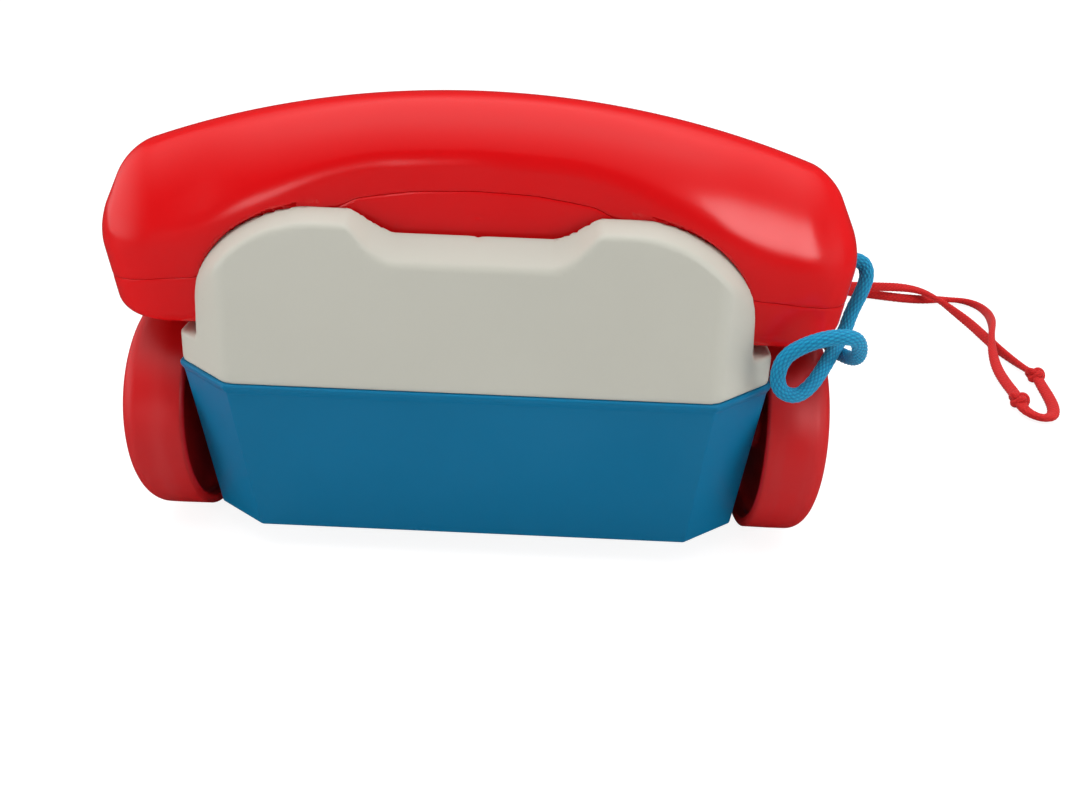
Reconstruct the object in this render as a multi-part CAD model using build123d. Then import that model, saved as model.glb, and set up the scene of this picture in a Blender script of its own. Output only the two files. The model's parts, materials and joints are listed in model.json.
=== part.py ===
from build123d import *
import os
from math import atan2, cos, degrees, pi, radians, sin, sqrt, tan

# Pull-along toy telephone, in millimetres.
# +Z is up, the front with the dial looks along -Y, and the handset lies along X over the back half.
# The origin is on the ground, under the middle of the toy.

os.makedirs("parts", exist_ok=True)

# ---------------------------------------------------------------- driving dimensions
# Wheels and axles
wheel_diameter = 66.4
wheel_width = 18.0
wheel_gap = 1.5                 # wheel to body side
wheel_spacing = 9.6             # front wheel to rear wheel
wheel_edge_radius = 5.0
wheel_rim = 3.0
wheel_web = 3.0
wheel_dish_depth = 3.0
wheel_hub_diameter = 16.0
axle_diameter = 5.0
axle_running_gap = 0.06         # radial
hub_cap_diameter = 18.0
hub_cap_height = 4.0
bush_wall = 2.0
bush_flange_width = 2.0
bush_flange = 1.5               # its thickness
bush_seat = 6.0                 # depth of the boss that holds a bush

# Blue base: a tub with cut corners, wider at the seam than at the underside
body_width = 160.0              # side to side at the seam
body_depth = 160.0              # front to back at the seam
corner_width = 16.3             # cut corner at the seam, along X
corner_depth = 13.7             # cut corner at the seam, along Y
side_draft = 3.0                # seam to underside, on each side
end_draft = 8.8                 # seam to underside, at the front and at the back
underside_corner_width = 15.0
underside_corner_depth = 10.8
underside_height = 9.0          # ground to underside
wheel_over_seam = 6.4           # seam to the top of the wheels
shell_wall = 2.5                # moulded wall of both body shells
lip_height = 3.0                # tongue of the base inside the upper shell
lip_wall = 1.2
lip_gap = 0.8

# White upper shell: shoulders, cradle walls, cradle floor and sloping dial panel
shoulder_rise = 8.0             # seam to the shoulder ledge
shoulder_width = 8.5            # side of the body to the side of the cradle
cradle_floor_rise = 28.0        # shoulder ledge to the cradle floor
dip_depth = 8.5                 # top of the cradle walls to the cradle floor
cradle_wall_lean = 8.0          # back face, seam to wall top
cradle_wall_top = 6.0           # thickness of the walls at their top
cradle_corner_width = 33.5      # rounded upper corner of the walls, along X
cradle_corner_rise = 26.5       # rounded upper corner of the walls, along Z
dip_floor_width = 46.0          # dip in the walls, where the fingers reach the grip
dip_side_run = 10.0             # slanted side of the dip, along X
dip_radius = 10.0
panel_foot_inset = 14.0         # front of the body to the lower edge of the dial panel
wall_edge_radius = 4.0          # rounded rim of the back wall

# Red handset: a round-topped arch that straddles the cradle
handset_overhang = 23.0         # side of the body to the tip of the handset
handset_rise = 34.0             # cradle floor to the top of the arch
handset_arch_radius = 260.0
grip_depth = 33.0
grip_length = 86.0              # narrow part between the ends
grip_round = 16.5               # height of the rounded top of the grip
end_widening = 5.0              # grip to end, at the front and at the back
end_length = 40.0               # tip to where the end reaches its full depth
end_round = 30.0                # height of the rounded top of the ends
end_corner_flat = 3.0           # flat left at the tip between its two corners
slant_inset = 12.0              # slanted tip of the ends, along X
slant_top_rise = 16.5           # its top above the cradle floor
slant_bottom_drop = 4.0         # its bottom below the cradle floor
end_lean = 1.5
end_shoulder_gap = 1.5          # shoulder ledge to the underside of the ends
# Seam between the handset shells: its height above the cradle floor in the middle, and then
# places from there to the tip, as distance from the tip and height
seam_middle = 12.8
seam_places = [(73.0, 10.0), (49.0, 5.5), (39.0, 2.0), (32.0, -4.0), (23.0, -12.0), (0.0, -18.0)]
handset_wall = 2.4
handset_bottom_radius = 4.0
handset_slant_radius = 5.0
handset_side_gap = 1.0          # grip to cradle wall
handset_rest_gap = 0.3          # grip to cradle floor
straddle_gap = 1.2              # ear and mouth ends to the cradle block
cap_inset = 15.0                # tip of the handset to the middle of a cap
cap_diameter = 20.0
cap_thickness = 1.6
cap_hole_diameter = 2.0
cap_holes = 6                   # in the ring
cap_hole_circle = 6.0           # radius
handset_screw_x = 34.0

# Clicker on the rear axle
clicker_x = 30.0
clicker_width = 6.0
clicker_teeth = 8
clicker_radius = 11.0
clicker_root = 8.5
reed_gap = 0.5
reed_thickness = 1.2
reed_width = 8.0
reed_foot = 10.0

# Dial and its parts
dial_diameter = 64.0
dial_thickness = 4.5
dial_edge = 1.0                 # chamfer
dial_climb = 42.0               # lower edge of the panel to the middle of the dial, along the slope
dial_gap = 0.3                  # dial to the flange of its bush
finger_holes = 10
finger_hole_inset = 7.6         # rim of the dial to the middle of a hole
finger_hole_web = 1.8           # between two holes
finger_hole_step = 30.0         # degrees from hole to hole
first_hole_angle = 60.0         # degrees from the right, seen from above the dial
number_plate_margin = 1.0       # rim of the dial to the rim of the plate
number_plate_thickness = 1.0
dial_cap_diameter = 20.0
dial_cap_height = 4.5
spindle_diameter = 6.0
spindle_depth = 16.0            # panel face to the inner end
running_gap = 0.05              # radial
dial_bush_wall = 2.0
dial_bush_flange_width = 2.0
dial_bush_flange = 0.8          # its thickness
dial_cam_diameter = 24.0
dial_cam_thickness = 2.5
dial_cam_depth = 6.0
cam_pegs = 5
cam_peg_diameter = 3.0
cam_peg_circle = 9.0            # radius
cam_peg_length = 5.0
stop_reach = 9.2                # rim of the dial to the tip of the finger stop
stop_gap = 0.8                  # round the dial
stop_foot = 3.0
stop_width = 5.0
stop_thickness = 1.6
stop_angle = -4.0               # degrees round the dial

# Bell and hammer
bell_x = -37.0
bell_radius = 18.0
bell_height = 14.0
bell_wall = 1.0
bell_depth = 6.0                # panel face to the crown
bell_post_diameter = 6.0
hammer_pivot_x = -15.0
hammer_pivot_y = -24.0
hammer_pin_diameter = 3.0
hammer_eye_wall = 2.0
hammer_depth = 10.0
hammer_thickness = 3.0
hammer_width = 3.0
hammer_reach = 27.0
hammer_nose_gap = 0.5
hammer_nose_length = 6.0
pin_head = 1.5                  # thickness, and width round the pin
pin_gap = 0.5

# Screws
screw_diameter = 3.0
screw_pilot = 2.0
screw_clearance = 0.4           # round heads and shanks
screw_head_diameter = 6.0
screw_head = 2.0
screw_head_gap = 0.2
screw_length = 14.0
boss_diameter = 8.0
body_screw_inset_x = 20.0       # from the side of the body
body_screw_inset_y = 28.0       # from its front and back

# Cords
cord_diameter = 4.0
gland_diameter = 8.0
gland_neck_diameter = 5.0
gland_seat = 5.0                # depth of the bosses behind gland and grommet
handset_gland_sink = 0.6        # tip of the handset to the face of the gland
handset_gland_offset = 8.5      # middle of the handset to the gland, forwards
handset_gland_rise = 27.5       # seam of the body to the gland
body_gland_drop = 8.5           # seam of the body to the gland, downwards
body_gland_length = 4.5
string_diameter = 3.4
grommet_rise = 13.0             # underside to the middle of the grommet
grommet_diameter = 14.0
grommet_neck_diameter = 8.0
grommet_length = 4.0
string_spread = 4.6             # between the two strands at the grommet
knot_diameter = 8.0
knot_ground_gap = 0.1

# ---------------------------------------------------------------- worked out from them
# Heights
axle_height = wheel_diameter / 2
seam_height = wheel_diameter - wheel_over_seam
shoulder_height = seam_height + shoulder_rise
cradle_floor_height = shoulder_height + cradle_floor_rise
cradle_wall_height = cradle_floor_height + dip_depth
handset_top = cradle_floor_height + handset_rise
end_bottom = shoulder_height + end_shoulder_gap
grip_bottom = cradle_floor_height + handset_rest_gap
floor_height = underside_height + shell_wall
head_seat = underside_height + screw_head
handset_head_seat = grip_bottom + screw_head

# Widths
underside_width = body_width - 2 * side_draft
underside_depth = body_depth - 2 * end_draft
cradle_width = body_width - 2 * shoulder_width
handset_length = body_width + 2 * handset_overhang
end_start = handset_length / 2 - end_length
cap_x = handset_length / 2 - cap_inset
wheel_inner = body_width / 2 + wheel_gap
wheel_outer = wheel_inner + wheel_width
bush_diameter = axle_diameter + 2 * bush_wall
bush_flange_diameter = bush_diameter + 2 * bush_flange_width

# Places from front to back
axle_y = (wheel_diameter + wheel_spacing) / 2
wall_outer_y = body_depth / 2 - cradle_wall_lean
wall_inner_y = wall_outer_y - cradle_wall_top
handset_y = wall_inner_y - handset_side_gap - grip_depth / 2
front_wall_inner_y = handset_y - grip_depth / 2 - handset_side_gap
front_wall_outer_y = front_wall_inner_y - cradle_wall_top
panel_foot_y = panel_foot_inset - body_depth / 2
reed_y = axle_y - clicker_radius - reed_gap

# The plane of the dial panel, with its origin under the middle of the dial
panel_slope = atan2(cradle_wall_height - shoulder_height, front_wall_outer_y - panel_foot_y)
panel = Plane(
    origin=(0, panel_foot_y + dial_climb * cos(panel_slope), shoulder_height + dial_climb * sin(panel_slope)),
    x_dir=(1, 0, 0),
    z_dir=(0, -sin(panel_slope), cos(panel_slope)),
)
dial_height = number_plate_thickness + dial_bush_flange + dial_gap
dial_top = dial_height + dial_thickness
finger_hole_circle = dial_diameter / 2 - finger_hole_inset
finger_hole_diameter = 2 * finger_hole_circle * sin(radians(finger_hole_step / 2)) - finger_hole_web
dial_bush_diameter = spindle_diameter + 2 * running_gap + 2 * dial_bush_wall


def side_wall_x(height):
    """Half width of the base at a height."""
    share = (height - underside_height) / (seam_height - underside_height)
    return (underside_width + (body_width - underside_width) * share) / 2


def front_wall_y(height):
    """Half depth of the base at a height."""
    share = (height - underside_height) / (seam_height - underside_height)
    return (underside_depth + (body_depth - underside_depth) * share) / 2


# Where the cords leave the toy
bush_inner = underside_width / 2 - bush_seat
grommet_z = underside_height + grommet_rise
grommet_inner = front_wall_y(grommet_z) - gland_seat
grommet_face = front_wall_y(grommet_z) + grommet_length
body_gland_z = seam_height - body_gland_drop
gland_inner = side_wall_x(body_gland_z) - gland_seat
gland_face = side_wall_x(body_gland_z) + body_gland_length
handset_gland_x = handset_length / 2 - handset_gland_sink
handset_gland_y = handset_y - handset_gland_offset
handset_gland_z = seam_height + handset_gland_rise


# ---------------------------------------------------------------- helpers
def face_of(points):
    """Flat face in the XY plane with straight sides."""
    return make_face(Polyline(*points, close=True))


def mirrored(points):
    """Closed outline from the points of its right half, listed from top to bottom."""
    return points + [(-x, y) for x, y in reversed(points)]


def rectangle(low, high):
    """Upright rectangle from its low corner to its high corner."""
    return face_of([low, (high[0], low[1]), high, (low[0], high[1])])


def moved_in(face, inset):
    """A face with straight sides, moved inwards, or outwards if the inset is negative."""
    return offset(face, -inset, kind=Kind.INTERSECTION) if inset else face


def box_between(low, high):
    """Box from its low corner to its high corner."""
    size = [b - a for a, b in zip(low, high)]
    return Pos(*low) * Box(*size, align=(Align.MIN, Align.MIN, Align.MIN))


def rod(diameter, start, end, plane=Plane.XY):
    """Cylinder along the normal of a plane, from one height to another."""
    drum = Cylinder(diameter / 2, abs(end - start), align=(Align.CENTER, Align.CENTER, Align.MIN))
    return plane * Pos(0, 0, min(start, end)) * drum


def rod_x(diameter, start, end, y, z):
    """Cylinder along X."""
    return rod(diameter, start, end, Plane(origin=(0, y, z), x_dir=(0, 1, 0), z_dir=(1, 0, 0)))


def rod_forwards(diameter, start, end, z):
    """Cylinder from the middle plane towards the front."""
    return rod(diameter, start, end, Plane(origin=(0, 0, z), x_dir=(1, 0, 0), z_dir=(0, -1, 0)))


def along_x(face, start, end):
    """A face drawn as (Y, Z), pushed out along X."""
    plane = Plane(origin=(start, 0, 0), x_dir=(0, 1, 0), z_dir=(1, 0, 0))
    return extrude(plane * face, end - start)


def along_y(face, start, end):
    """A face drawn as (X, Z), pushed out along Y."""
    plane = Plane(origin=(0, end, 0), x_dir=(1, 0, 0), z_dir=(0, -1, 0))
    return extrude(plane * face, end - start)


def along_z(face, start, end):
    """A face drawn as (X, Y), pushed out along Z."""
    return extrude(Pos(0, 0, start) * face, end - start)


def ring_of(count, radius, first=0.0):
    """Places round a circle; the first angle is in radians."""
    angles = [first + 2 * pi * turn / count for turn in range(count)]
    return [Pos(radius * cos(angle), radius * sin(angle)) for angle in angles]


def screws_up(spots, seat):
    """Screws driven upwards, with their heads below a seat."""
    head = rod(screw_head_diameter, seat - screw_head + screw_head_gap, seat)
    screw = head + rod(screw_diameter, seat, seat + screw_length)
    return Compound(children=[spot * screw for spot in spots])


def write(name, shape):
    """Write one node."""
    export_step(shape, f"parts/{name}.step")


# ---------------------------------------------------------------- forms of the body
def cut_corner_face(width, depth, corner_x, corner_y, inset):
    """Rectangle with cut corners, moved inwards by a wall."""
    x, y = width / 2, depth / 2
    half = [(x - corner_x, y), (x, y - corner_y), (x, corner_y - y), (x - corner_x, -y)]
    return moved_in(face_of(mirrored(half)), inset)


def tub(inset, bottom, top):
    """Solid between two heights of the base, whose sides lean in towards the underside."""
    low = cut_corner_face(
        underside_width, underside_depth, underside_corner_width, underside_corner_depth, inset
    )
    high = cut_corner_face(body_width, body_depth, corner_width, corner_depth, inset)
    full = loft([Pos(0, 0, underside_height) * low, Pos(0, 0, seam_height) * high], ruled=True)
    reach = body_width
    return full & box_between((-reach, -reach, bottom), (reach, reach, top))


def leaning_block(inset, top):
    """Solid above the seam, whose front and back lean in towards the top."""
    low = cut_corner_face(body_width, body_depth, corner_width, corner_depth, inset)
    lean_depth = body_depth - 2 * cradle_wall_lean
    high = cut_corner_face(body_width, lean_depth, corner_width, corner_depth, inset)
    full = loft([Pos(0, 0, seam_height) * low, Pos(0, 0, cradle_wall_height) * high], ruled=True)
    reach = body_width
    return full & box_between((-reach, -reach, seam_height), (reach, reach, top))


def cradle_side_face(inset):
    """Side view of the cradle block: back wall, floor, front wall and dial panel."""
    points = [
        (body_depth / 2 + shell_wall, 0),
        (body_depth / 2 + shell_wall, seam_height),
        (wall_outer_y, cradle_wall_height),
        (wall_inner_y, cradle_wall_height),
        (wall_inner_y, cradle_floor_height),
        (front_wall_inner_y, cradle_floor_height),
        (front_wall_inner_y, cradle_wall_height),
        (front_wall_outer_y, cradle_wall_height),
        (panel_foot_y, shoulder_height),
        (panel_foot_y, 0),
    ]
    return moved_in(face_of(points), inset)


def dip_face(shrink):
    """The dip in the walls: flat floor, slanted sides, rounded at both ends of each side."""
    half_floor = dip_floor_width / 2
    half_top = half_floor + dip_side_run
    above = cradle_wall_height + cradle_corner_rise
    half = [
        (half_top + dip_radius, above),
        (half_top + dip_radius, cradle_wall_height),
        (half_top, cradle_wall_height),
        (half_floor, cradle_floor_height),
    ]
    face = moved_in(face_of(mirrored(half)), shrink)
    low_corners = [v for v in face.vertices() if v.Y < above - 2 * dip_radius]
    bends = [v for v in low_corners if abs(v.X) < half_top + dip_radius / 2]
    return fillet(bends, dip_radius)


def cradle_front_face(grow, top):
    """Front view of the cradle block up to a height, with its rounded corners and the dip."""
    side = cradle_width / 2
    corner_x = side - cradle_corner_width
    corner_z = cradle_wall_height - cradle_corner_rise
    wide, high = cradle_corner_width + grow, cradle_corner_rise + grow
    face = rectangle((-side - grow, 0), (side + grow, corner_z))
    face += rectangle((-corner_x, 0), (corner_x, corner_z + high))
    for sign in (-1, 1):
        face += Pos(sign * corner_x, corner_z) * Ellipse(wide, high)
    face -= dip_face(grow)
    return face & rectangle((-body_width, 0), (body_width, top))


def body_form(inset):
    """Outer form of the upper shell, or the same form moved inwards by a wall."""
    reach = body_width
    shoulders = leaning_block(inset, shoulder_height - inset)
    block = leaning_block(inset, cradle_wall_height)
    block = block & along_x(cradle_side_face(inset), -reach, reach)
    block = block & along_y(cradle_front_face(-inset, cradle_wall_height), -reach, reach)
    return shoulders + block


def back_rim(form):
    """Edges round the back face of the rear cradle wall, above the shoulders."""
    backs = [face for face in form.faces() if face.normal_at().Y > 0.9]
    back = max(backs, key=lambda face: face.area)
    return [edge for edge in back.edges() if edge.center().Z > shoulder_height + 1]


def rim_ring(outer_inset, inner_inset, low, high):
    """Ring that follows the rim, between two heights measured from the seam."""
    faces = [
        cut_corner_face(body_width, body_depth, corner_width, corner_depth, inset)
        for inset in (outer_inset, inner_inset)
    ]
    return along_z(faces[0] - faces[1], seam_height + low, seam_height + high)


def body_screw_spots():
    """Places of the four body screws."""
    x = body_width / 2 - body_screw_inset_x
    y = body_depth / 2 - body_screw_inset_y
    return [Pos(sx * x, sy * y) for sx in (-1, 1) for sy in (-1, 1)]


# ---------------------------------------------------------------- body shells
def base_shell():
    """Tub with a tongue round its rim, screw posts, bush seats and holes for gland and grommet."""
    outer = tub(0, underside_height, seam_height)
    shell = outer - tub(shell_wall, floor_height, seam_height)
    shell += rim_ring(shell_wall / 2, shell_wall + lip_gap + lip_wall, -lip_height, 0)
    shell += rim_ring(shell_wall + lip_gap, shell_wall + lip_gap + lip_wall, 0, lip_height)
    for spot in body_screw_spots():
        shell += spot * rod(boss_diameter, underside_height, seam_height)
        shell -= spot * rod(screw_diameter + screw_clearance, underside_height, seam_height)
        shell -= spot * rod(screw_head_diameter + screw_clearance, underside_height, head_seat)
    side = body_width / 2
    for y in (-axle_y, axle_y):
        for sign in (-1, 1):
            shell += rod_x(bush_flange_diameter, sign * bush_inner, sign * side, y, axle_height) & outer
            shell -= rod_x(bush_diameter, sign * bush_inner, sign * side, y, axle_height)
    front = body_depth / 2
    shell += rod_forwards(grommet_diameter, grommet_inner, front, grommet_z) & outer
    shell -= rod_forwards(grommet_neck_diameter, grommet_inner, front, grommet_z)
    shell += rod_x(gland_diameter, -side, -gland_inner, 0, body_gland_z) & outer
    shell -= rod_x(gland_neck_diameter, -side, -gland_inner, 0, body_gland_z)
    return shell - reed_screw_shank()


def upper_shell():
    """White shell: cradle, shoulders and dial panel, with posts for the screws."""
    outer = body_form(0)
    outer = fillet(back_rim(outer), wall_edge_radius)
    shell = outer - body_form(shell_wall)
    for spot in body_screw_spots():
        shell += spot * rod(boss_diameter, seam_height, cradle_wall_height) & outer
        shell -= spot * rod(screw_diameter, seam_height, head_seat + screw_length)
    shell -= rod(dial_bush_diameter, -2 * shell_wall, shell_wall, panel)
    for x, y in [(bell_x, 0), (hammer_pivot_x, hammer_pivot_y)]:
        post = rod(boss_diameter, -2 * shell_wall, 0, panel * Plane(origin=(x, y, 0)))
        shell += post & outer
    return shell


# ---------------------------------------------------------------- wheels and axles
def wheel(side, y):
    """One wheel: rim with a rounded outer edge, web, hub and a shallow dish outside."""
    radius = wheel_diameter / 2
    hub = wheel_hub_diameter / 2
    bore = axle_diameter / 2
    web_outer = wheel_width - wheel_dish_depth
    web_inner = web_outer - wheel_web
    dish = radius - wheel_rim - wheel_edge_radius
    outline = [
        (bore, 0), (hub, 0), (hub, web_inner), (radius - wheel_rim, web_inner), (radius - wheel_rim, 0),
        (radius, 0), (radius, wheel_width), (dish, wheel_width),
        (dish - wheel_dish_depth, web_outer), (bore, web_outer),
    ]
    face = face_of(outline)
    corner = [v for v in face.vertices() if (Vector(*v) - Vector(radius, wheel_width)).length < wheel_rim / 2]
    face = fillet(corner, wheel_edge_radius)
    turned = revolve(Plane.XZ * face, Axis.Z)
    turned = Plane(origin=(0, 0, 0), x_dir=(0, side, 0), z_dir=(side, 0, 0)) * turned
    return Pos(side * wheel_inner, y, axle_height) * turned


def axle(y):
    """Steel axle, through both wheels."""
    reach = wheel_outer - wheel_dish_depth + hub_cap_height / 2
    return rod_x(axle_diameter, -reach, reach, y, axle_height)


def hub_caps(y):
    """Two domed caps over the ends of an axle."""
    start = wheel_outer - wheel_dish_depth
    caps = []
    for side in (-1, 1):
        cap = rod_x(hub_cap_diameter, side * start, side * (start + hub_cap_height), y, axle_height)
        outer_edge = cap.edges().sort_by(Axis.X)[-1 if side > 0 else 0]
        caps.append(fillet(outer_edge, hub_cap_height * 0.6) - axle(y))
    return Compound(children=caps)


def bushes(y):
    """Two flanged bushes that carry an axle in the base."""
    bore = axle_diameter + 2 * axle_running_gap
    flange_inner = bush_inner - bush_flange
    pieces = []
    for side in (-1, 1):
        bush = rod_x(bush_diameter, side * bush_inner, side * underside_width / 2, y, axle_height)
        bush += rod_x(bush_flange_diameter, side * flange_inner, side * bush_inner, y, axle_height)
        pieces.append(bush - rod_x(bore, side * flange_inner, side * underside_width / 2, y, axle_height))
    return Compound(children=pieces)


def clicker_cam():
    """Toothed cam on the rear axle."""
    step = 2 * pi / clicker_teeth
    points = []
    for tooth in range(clicker_teeth):
        for angle, radius in [(tooth * step, clicker_radius), ((tooth + 0.5) * step, clicker_root)]:
            points.append((radius * cos(angle), radius * sin(angle)))
    cam = along_x(face_of(points), clicker_x, clicker_x + clicker_width)
    return Pos(0, axle_y, axle_height) * cam - axle(axle_y)


def clicker_reed():
    """Bent strip beside the cam: a foot on the floor of the base and an upright tongue."""
    middle = clicker_x + clicker_width / 2
    low, high = middle - reed_width / 2, middle + reed_width / 2
    foot_top = floor_height + reed_thickness
    tongue_top = axle_height + reed_thickness
    foot = box_between((low, reed_y - reed_foot, floor_height), (high, reed_y, foot_top))
    tongue = box_between((low, reed_y - reed_thickness, floor_height), (high, reed_y, tongue_top))
    return tongue + foot - reed_screw_shank()


def reed_screw_spot():
    """Middle of the foot of the reed."""
    return Pos(clicker_x + clicker_width / 2, reed_y - reed_foot / 2 - reed_thickness)


def reed_screw_shank():
    """Thread of the screw that holds the reed, part of the way into the floor."""
    start = underside_height + shell_wall / 2
    return reed_screw_spot() * rod(screw_pilot, start, floor_height + reed_thickness)


def reed_screw():
    """Screw that holds the foot of the reed."""
    top = floor_height + reed_thickness
    return reed_screw_shank() + reed_screw_spot() * rod(screw_head_diameter, top, top + screw_head)


# ---------------------------------------------------------------- dial
def dial():
    """Rotary disc with finger holes."""
    disc = rod(dial_diameter, dial_height, dial_top, panel)
    disc = chamfer(disc.edges().filter_by(GeomType.CIRCLE), dial_edge)
    turns = [radians(first_hole_angle + hole * finger_hole_step) for hole in range(finger_holes)]
    for turn in turns:
        spot = Pos(finger_hole_circle * cos(turn), finger_hole_circle * sin(turn))
        disc -= panel * spot * rod(finger_hole_diameter, dial_height, dial_top)
    return disc - rod(spindle_diameter, dial_height, dial_top, panel)


def number_plate():
    """Thin round plate on the panel, under the dial."""
    plate = rod(dial_diameter - 2 * number_plate_margin, 0, number_plate_thickness, panel)
    return plate - rod(dial_bush_diameter, 0, number_plate_thickness, panel)


def dial_bush():
    """Flanged bush through the panel."""
    flange_top = number_plate_thickness + dial_bush_flange
    flange_diameter = dial_bush_diameter + 2 * dial_bush_flange_width
    neck = rod(dial_bush_diameter, -2 * shell_wall, number_plate_thickness, panel)
    flange = rod(flange_diameter, number_plate_thickness, flange_top, panel)
    return neck + flange - rod(spindle_diameter + 2 * running_gap, -2 * shell_wall, flange_top, panel)


def dial_spindle():
    """Shaft of the dial."""
    shaft = rod(spindle_diameter, -spindle_depth, dial_top, panel)
    return shaft - dial_screw()


def dial_screw():
    """Screw and washer head at the inner end of the spindle."""
    shank = rod(screw_pilot, -spindle_depth, spindle_diameter - spindle_depth, panel)
    return shank + rod(screw_head_diameter + screw_head, -spindle_depth - screw_head, -spindle_depth, panel)


def dial_cap():
    """Domed cap over the middle of the dial."""
    cap = rod(dial_cap_diameter, dial_top, dial_top + dial_cap_height, panel)
    rims = cap.edges().filter_by(GeomType.CIRCLE)
    far = max(rims, key=lambda edge: panel.to_local_coords(edge.center()).Z)
    return fillet(far, dial_cap_height * 0.6)


def dial_cam():
    """Peg wheel that nudges the bell hammer."""
    top = -dial_cam_depth
    bottom = top - dial_cam_thickness
    cam = rod(dial_cam_diameter, bottom, top, panel)
    for spot in ring_of(cam_pegs, cam_peg_circle):
        cam += panel * spot * rod(cam_peg_diameter, bottom - cam_peg_length, bottom)
    return cam - rod(spindle_diameter, bottom, top, panel)


def finger_stop():
    """Hooked stop at the rim of the dial, fixed on the panel."""
    rim = dial_diameter / 2
    low, high = dial_top + stop_gap, dial_top + stop_gap + stop_thickness
    start, end = rim + stop_gap, rim + stop_gap + stop_foot
    half = stop_width / 2
    foot = box_between((start, -half, 0), (end, half, high))
    finger = box_between((rim - stop_reach, -half, low), (end, half, high))
    return panel * Rot(0, 0, stop_angle) * (foot + finger)


# ---------------------------------------------------------------- bell and hammer
def bell_plane():
    """Plane of the panel over the middle of the bell."""
    return panel * Plane(origin=(bell_x, 0, 0))


def hammer_plane():
    """Plane of the panel over the pin of the hammer."""
    return panel * Plane(origin=(hammer_pivot_x, hammer_pivot_y, 0))


def domed(drum, radius):
    """A drum below the panel with its upper edge rounded."""
    rims = drum.edges().filter_by(GeomType.CIRCLE)
    crown = max(rims, key=lambda edge: panel.to_local_coords(edge.center()).Z)
    return fillet(crown, radius)


def bell_dome():
    """Steel bell cup, hung from the panel with its mouth downwards."""
    mouth = -bell_depth - bell_height
    round_edge = bell_height * 0.6
    cup = rod(2 * bell_radius, mouth, -bell_depth, bell_plane())
    bowl = rod(2 * (bell_radius - bell_wall), mouth, -bell_depth - bell_wall, bell_plane())
    hole = rod(screw_diameter, -bell_depth - bell_wall, -bell_depth, bell_plane())
    return domed(cup, round_edge) - domed(bowl, round_edge - bell_wall) - hole


def bell_screw():
    """Screw that holds the bell on its post."""
    low = -bell_depth - bell_wall
    shank = rod(screw_pilot, low, -2 * shell_wall, bell_plane())
    return shank + rod(screw_head_diameter, low - screw_head, low, bell_plane())


def bell_post():
    """Post between the panel and the crown of the bell."""
    return rod(bell_post_diameter, -bell_depth, -2 * shell_wall, bell_plane()) - bell_screw()


def bell_hammer():
    """Lever on a pin, with a nose at the pegs and a head at the bell."""
    low, high = -hammer_depth - hammer_thickness, -hammer_depth
    half = hammer_width / 2
    nose = -hammer_pivot_x - cam_peg_circle - cam_peg_diameter / 2 - hammer_nose_gap
    rise = -hammer_pivot_y
    nose_low, nose_high = rise - hammer_nose_length * 2 / 3, rise + hammer_nose_length / 3
    nose_face = face_of([(0, nose_low), (nose, rise), (0, nose_high)])
    arm = box_between((-half, 0, low), (half, hammer_reach, high))
    eye = rod(hammer_pin_diameter + 2 * hammer_eye_wall, low, high)
    bore = rod(hammer_pin_diameter + 2 * running_gap, low, high)
    return hammer_plane() * (arm + along_z(nose_face, low, high) + eye - bore)


def hammer_pin():
    """Pin of the hammer, with a head below it."""
    low = -hammer_depth - hammer_thickness - pin_gap
    pin = rod(hammer_pin_diameter, low, -2 * shell_wall, hammer_plane())
    return pin + rod(hammer_pin_diameter + 2 * pin_head, low - pin_head, low, hammer_plane())


# ---------------------------------------------------------------- handset
def arch_height(x):
    """Height of the crown of the handset."""
    return handset_top - handset_arch_radius + sqrt(handset_arch_radius**2 - x**2)


def handset_section(x, inset):
    """Cross-section of the handset: straight sides and a full round top."""
    narrow = abs(x) < end_start
    half = grip_depth / 2 + (0 if narrow else end_widening) - inset
    rise = (grip_round if narrow else end_round) - inset
    top = arch_height(x) - inset
    pull = 4 / 3 * (sqrt(2) - 1)    # makes a Bezier curve a quarter of an ellipse
    sides = Polyline((-half, top - rise), (-half, end_bottom - 1), (half, end_bottom - 1), (half, top - rise))
    quarters = [
        Bezier(
            (sign * half, top - rise), (sign * half, top - rise + pull * rise),
            (sign * half * pull, top), (0, top),
        )
        for sign in (1, -1)
    ]
    face = make_face(Wire([*sides.edges(), *quarters[0].edges(), *quarters[1].edges()]))
    return Plane(origin=(x, handset_y, 0), x_dir=(0, 1, 0), z_dir=(1, 0, 0)) * face


def rounded_arch(inset):
    """The arch with its narrow grip and its wider ends, longer than the handset."""
    half = handset_length / 2
    outer = [half + 1, half / 2 + end_start / 2, end_start]
    inner = [grip_length / 2, grip_length / 4]
    places = outer + inner + [0] + [-x for x in reversed(outer + inner)]
    return loft([handset_section(x, inset) for x in places])


def handset_front_face(inset):
    """Front view of the handset with its slanted tips; the arch and the cradle cut it further."""
    half = handset_length / 2
    slant_top = cradle_floor_height + slant_top_rise
    slant_bottom = cradle_floor_height - slant_bottom_drop
    slant_rise = slant_top - slant_bottom
    right = [
        (half - 2 * slant_inset, slant_bottom + 2 * slant_rise),
        (half, slant_bottom),
        (half - end_lean, end_bottom),
    ]
    face = moved_in(face_of(mirrored(right)), inset)
    tips = [v for v in face.vertices() if abs(v.Y - slant_bottom) < slant_rise / 2]
    lower = [v for v in face.vertices() if v.Y < end_bottom + inset + 1]
    face = fillet(tips, handset_slant_radius)
    return fillet(lower, handset_bottom_radius)


def handset_plan_face(inset):
    """Plan of the ends with their rounded corners; the sides of the arch cut it further."""
    half_length = handset_length / 2 - inset
    half_depth = grip_depth / 2 + end_widening - inset
    radius = half_depth - end_corner_flat / 2
    return Pos(0, handset_y) * RectangleRounded(2 * half_length, 2 * half_depth, radius)


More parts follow.
